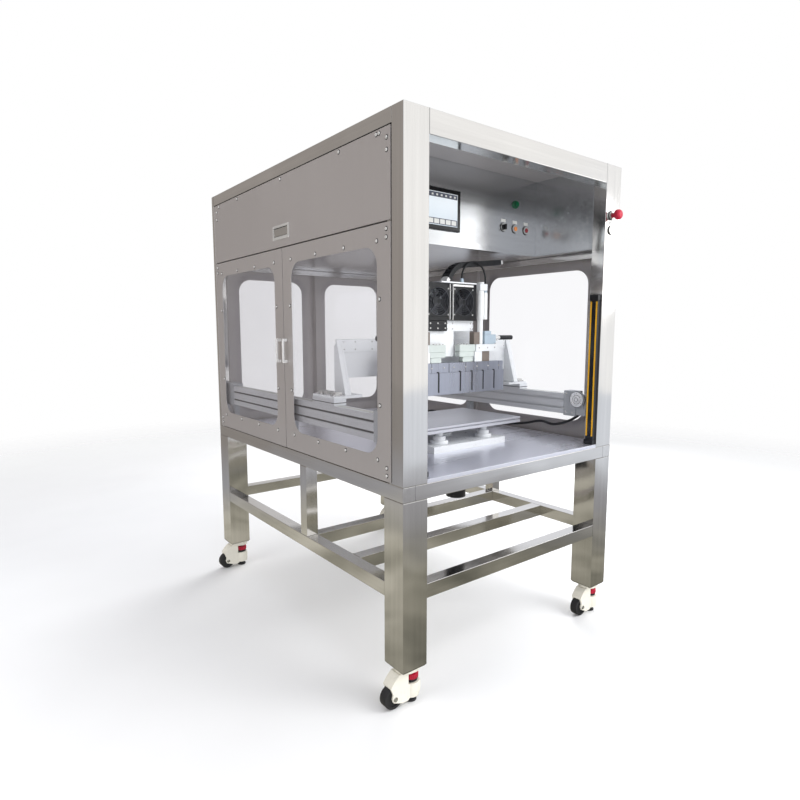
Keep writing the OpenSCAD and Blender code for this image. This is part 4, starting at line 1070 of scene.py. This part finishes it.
def build_workshop_floor():
    """The olive-grey floor that polished steel mirrors; seen by glossy rays only."""
    mat = bpy.data.materials.new("workshop_floor")
    mat.use_nodes = True
    mat.node_tree.nodes.clear()
    n = Nodes(mat.node_tree)
    coords = object_coords(n)
    along = n.vector("DOT_PRODUCT", coords, (0.5, -0.5, 0.0))
    patches = n.math("MULTIPLY", n.noise(n.vector("MULTIPLY", coords, (2.2, 2.2, 1.0)), 1.0, 4.0),
                     1.1)
    level = n.math("SUBTRACT", n.math("ADD", patches, n.math("MULTIPLY", along, -0.13)), 0.05)
    colour = n.ramp(level, (0.2, srgb(98, 97, 88)), (0.5, srgb(158, 155, 142)),
                    (0.8, srgb(206, 202, 189)))
    away = n.vector("LENGTH", coords)
    middle = n.mix("RGBA", n.remap(away, 0.0, 1.0, 1.6, 2.6), colour, srgb(162, 162, 166))
    horizon = n.ramp(n.remap(along, 0.0, 1.0, -1.5, 1.5), (0.2, srgb(148, 143, 139)),
                     (0.8, srgb(232, 237, 246)))
    far = n.mix("RGBA", n.remap(away, 0.0, 1.0, 2.8, 4.4), middle, horizon)
    glow = n.add("ShaderNodeEmission", Color=far)
    n.feed(n.add("ShaderNodeOutputMaterial").inputs["Surface"], glow.outputs[0])
    floor = new_floor("workshop_floor", mat)
    floor.location.z = -0.004
    for kind in ("camera", "diffuse", "transmission", "shadow", "volume_scatter"):
        setattr(floor, f"visible_{kind}", False)


def build_pale_floor():
    """The floor that the camera sees; it fades out far from the object."""
    mat, n, shader = new_material("pale_floor", Roughness=0.6)
    coords = object_coords(n)
    n.feed(shader.inputs["Base Color"],
           n.ramp(n.noise(coords, 1.5, 2.0), (0.3, srgb(236, 236, 236)),
                  (0.7, srgb(240, 240, 240))))
    away = n.vector("LENGTH", n.vector("MULTIPLY", coords, (1.0, 1.0, 0.0)))
    clear = n.add("ShaderNodeBsdfTransparent")
    n.mix_surfaces(n.remap(away, 0.0, 1.0, 2.2, 6.0), shader, clear, "Material Output")
    new_floor("floor", mat).visible_glossy = False


def build_studio():
    """A white backdrop, soft light from all round, and five lamps that the camera never sees."""
    world = bpy.data.worlds.new("studio")
    world.use_nodes = True
    scene.world = world
    w = Nodes(world.node_tree)
    direction = w.add("ShaderNodeTexCoord").outputs["Generated"]
    sideways = w.vector("DOT_PRODUCT", direction, (0.62, -0.62, 0.18))
    room = w.noise(w.vector("MULTIPLY", direction, (5.0, 5.0, 1.2)), 1.0, 3.0)
    place = w.math("ADD", w.remap(sideways, 0.0, 1.0, -0.8, 0.8),
                   w.math("MULTIPLY", w.math("SUBTRACT", room, 0.5), 0.35))
    around = w.ramp(place, (0.0, srgb(150, 144, 140)), (0.25, srgb(176, 172, 168)),
                    (0.5, srgb(226, 227, 232)), (0.8, srgb(238, 243, 252)),
                    (1.0, srgb(255, 255, 255)))
    lighting = w.add("ShaderNodeBackground", Color=around, Strength=1.12)
    white = w.add("ShaderNodeBackground", Color=(1.0, 1.0, 1.0, 1.0), Strength=1.0)
    seen = w.add("ShaderNodeLightPath").outputs["Is Camera Ray"]
    w.mix_surfaces(seen, lighting, white, "World Output")
    lamps = (
        ("key", (1.6, -3.4, 3.2), (0.0, -0.3, 1.0), 2.4, 95),
        ("fill", (-3.6, -0.2, 1.9), (0.0, 0.0, 0.9), 2.2, 42),
        ("back", (3.0, 2.2, 2.0), (0.0, 0.0, 1.0), 2.6, 125),
        ("low", (-0.6, -3.4, 0.5), (0.0, 0.0, 1.3), 1.6, 22),
        ("window", (2.1, -2.1, 1.8), (0.25, -0.44, 1.6), 0.9, 5),
    )
    for name, place, target, size, power in lamps:
        data = bpy.data.lights.new(name, "AREA")
        data.shape = "DISK"
        data.size = size
        data.energy = power
        lamp = bpy.data.objects.new(name, data)
        lamp.visible_camera = False
        lamp.visible_glossy = name == "window"
        lamp.location = place
        lamp.rotation_euler = (Vector(target) - Vector(place)).to_track_quat("-Z", "Y").to_euler()
        scene.collection.objects.link(lamp)
    scene.view_settings.view_transform = "Standard"
    scene.view_settings.look = "None"


build_pale_floor()
build_workshop_floor()
build_studio()

# ---- the end

bpy.context.view_layer.update()
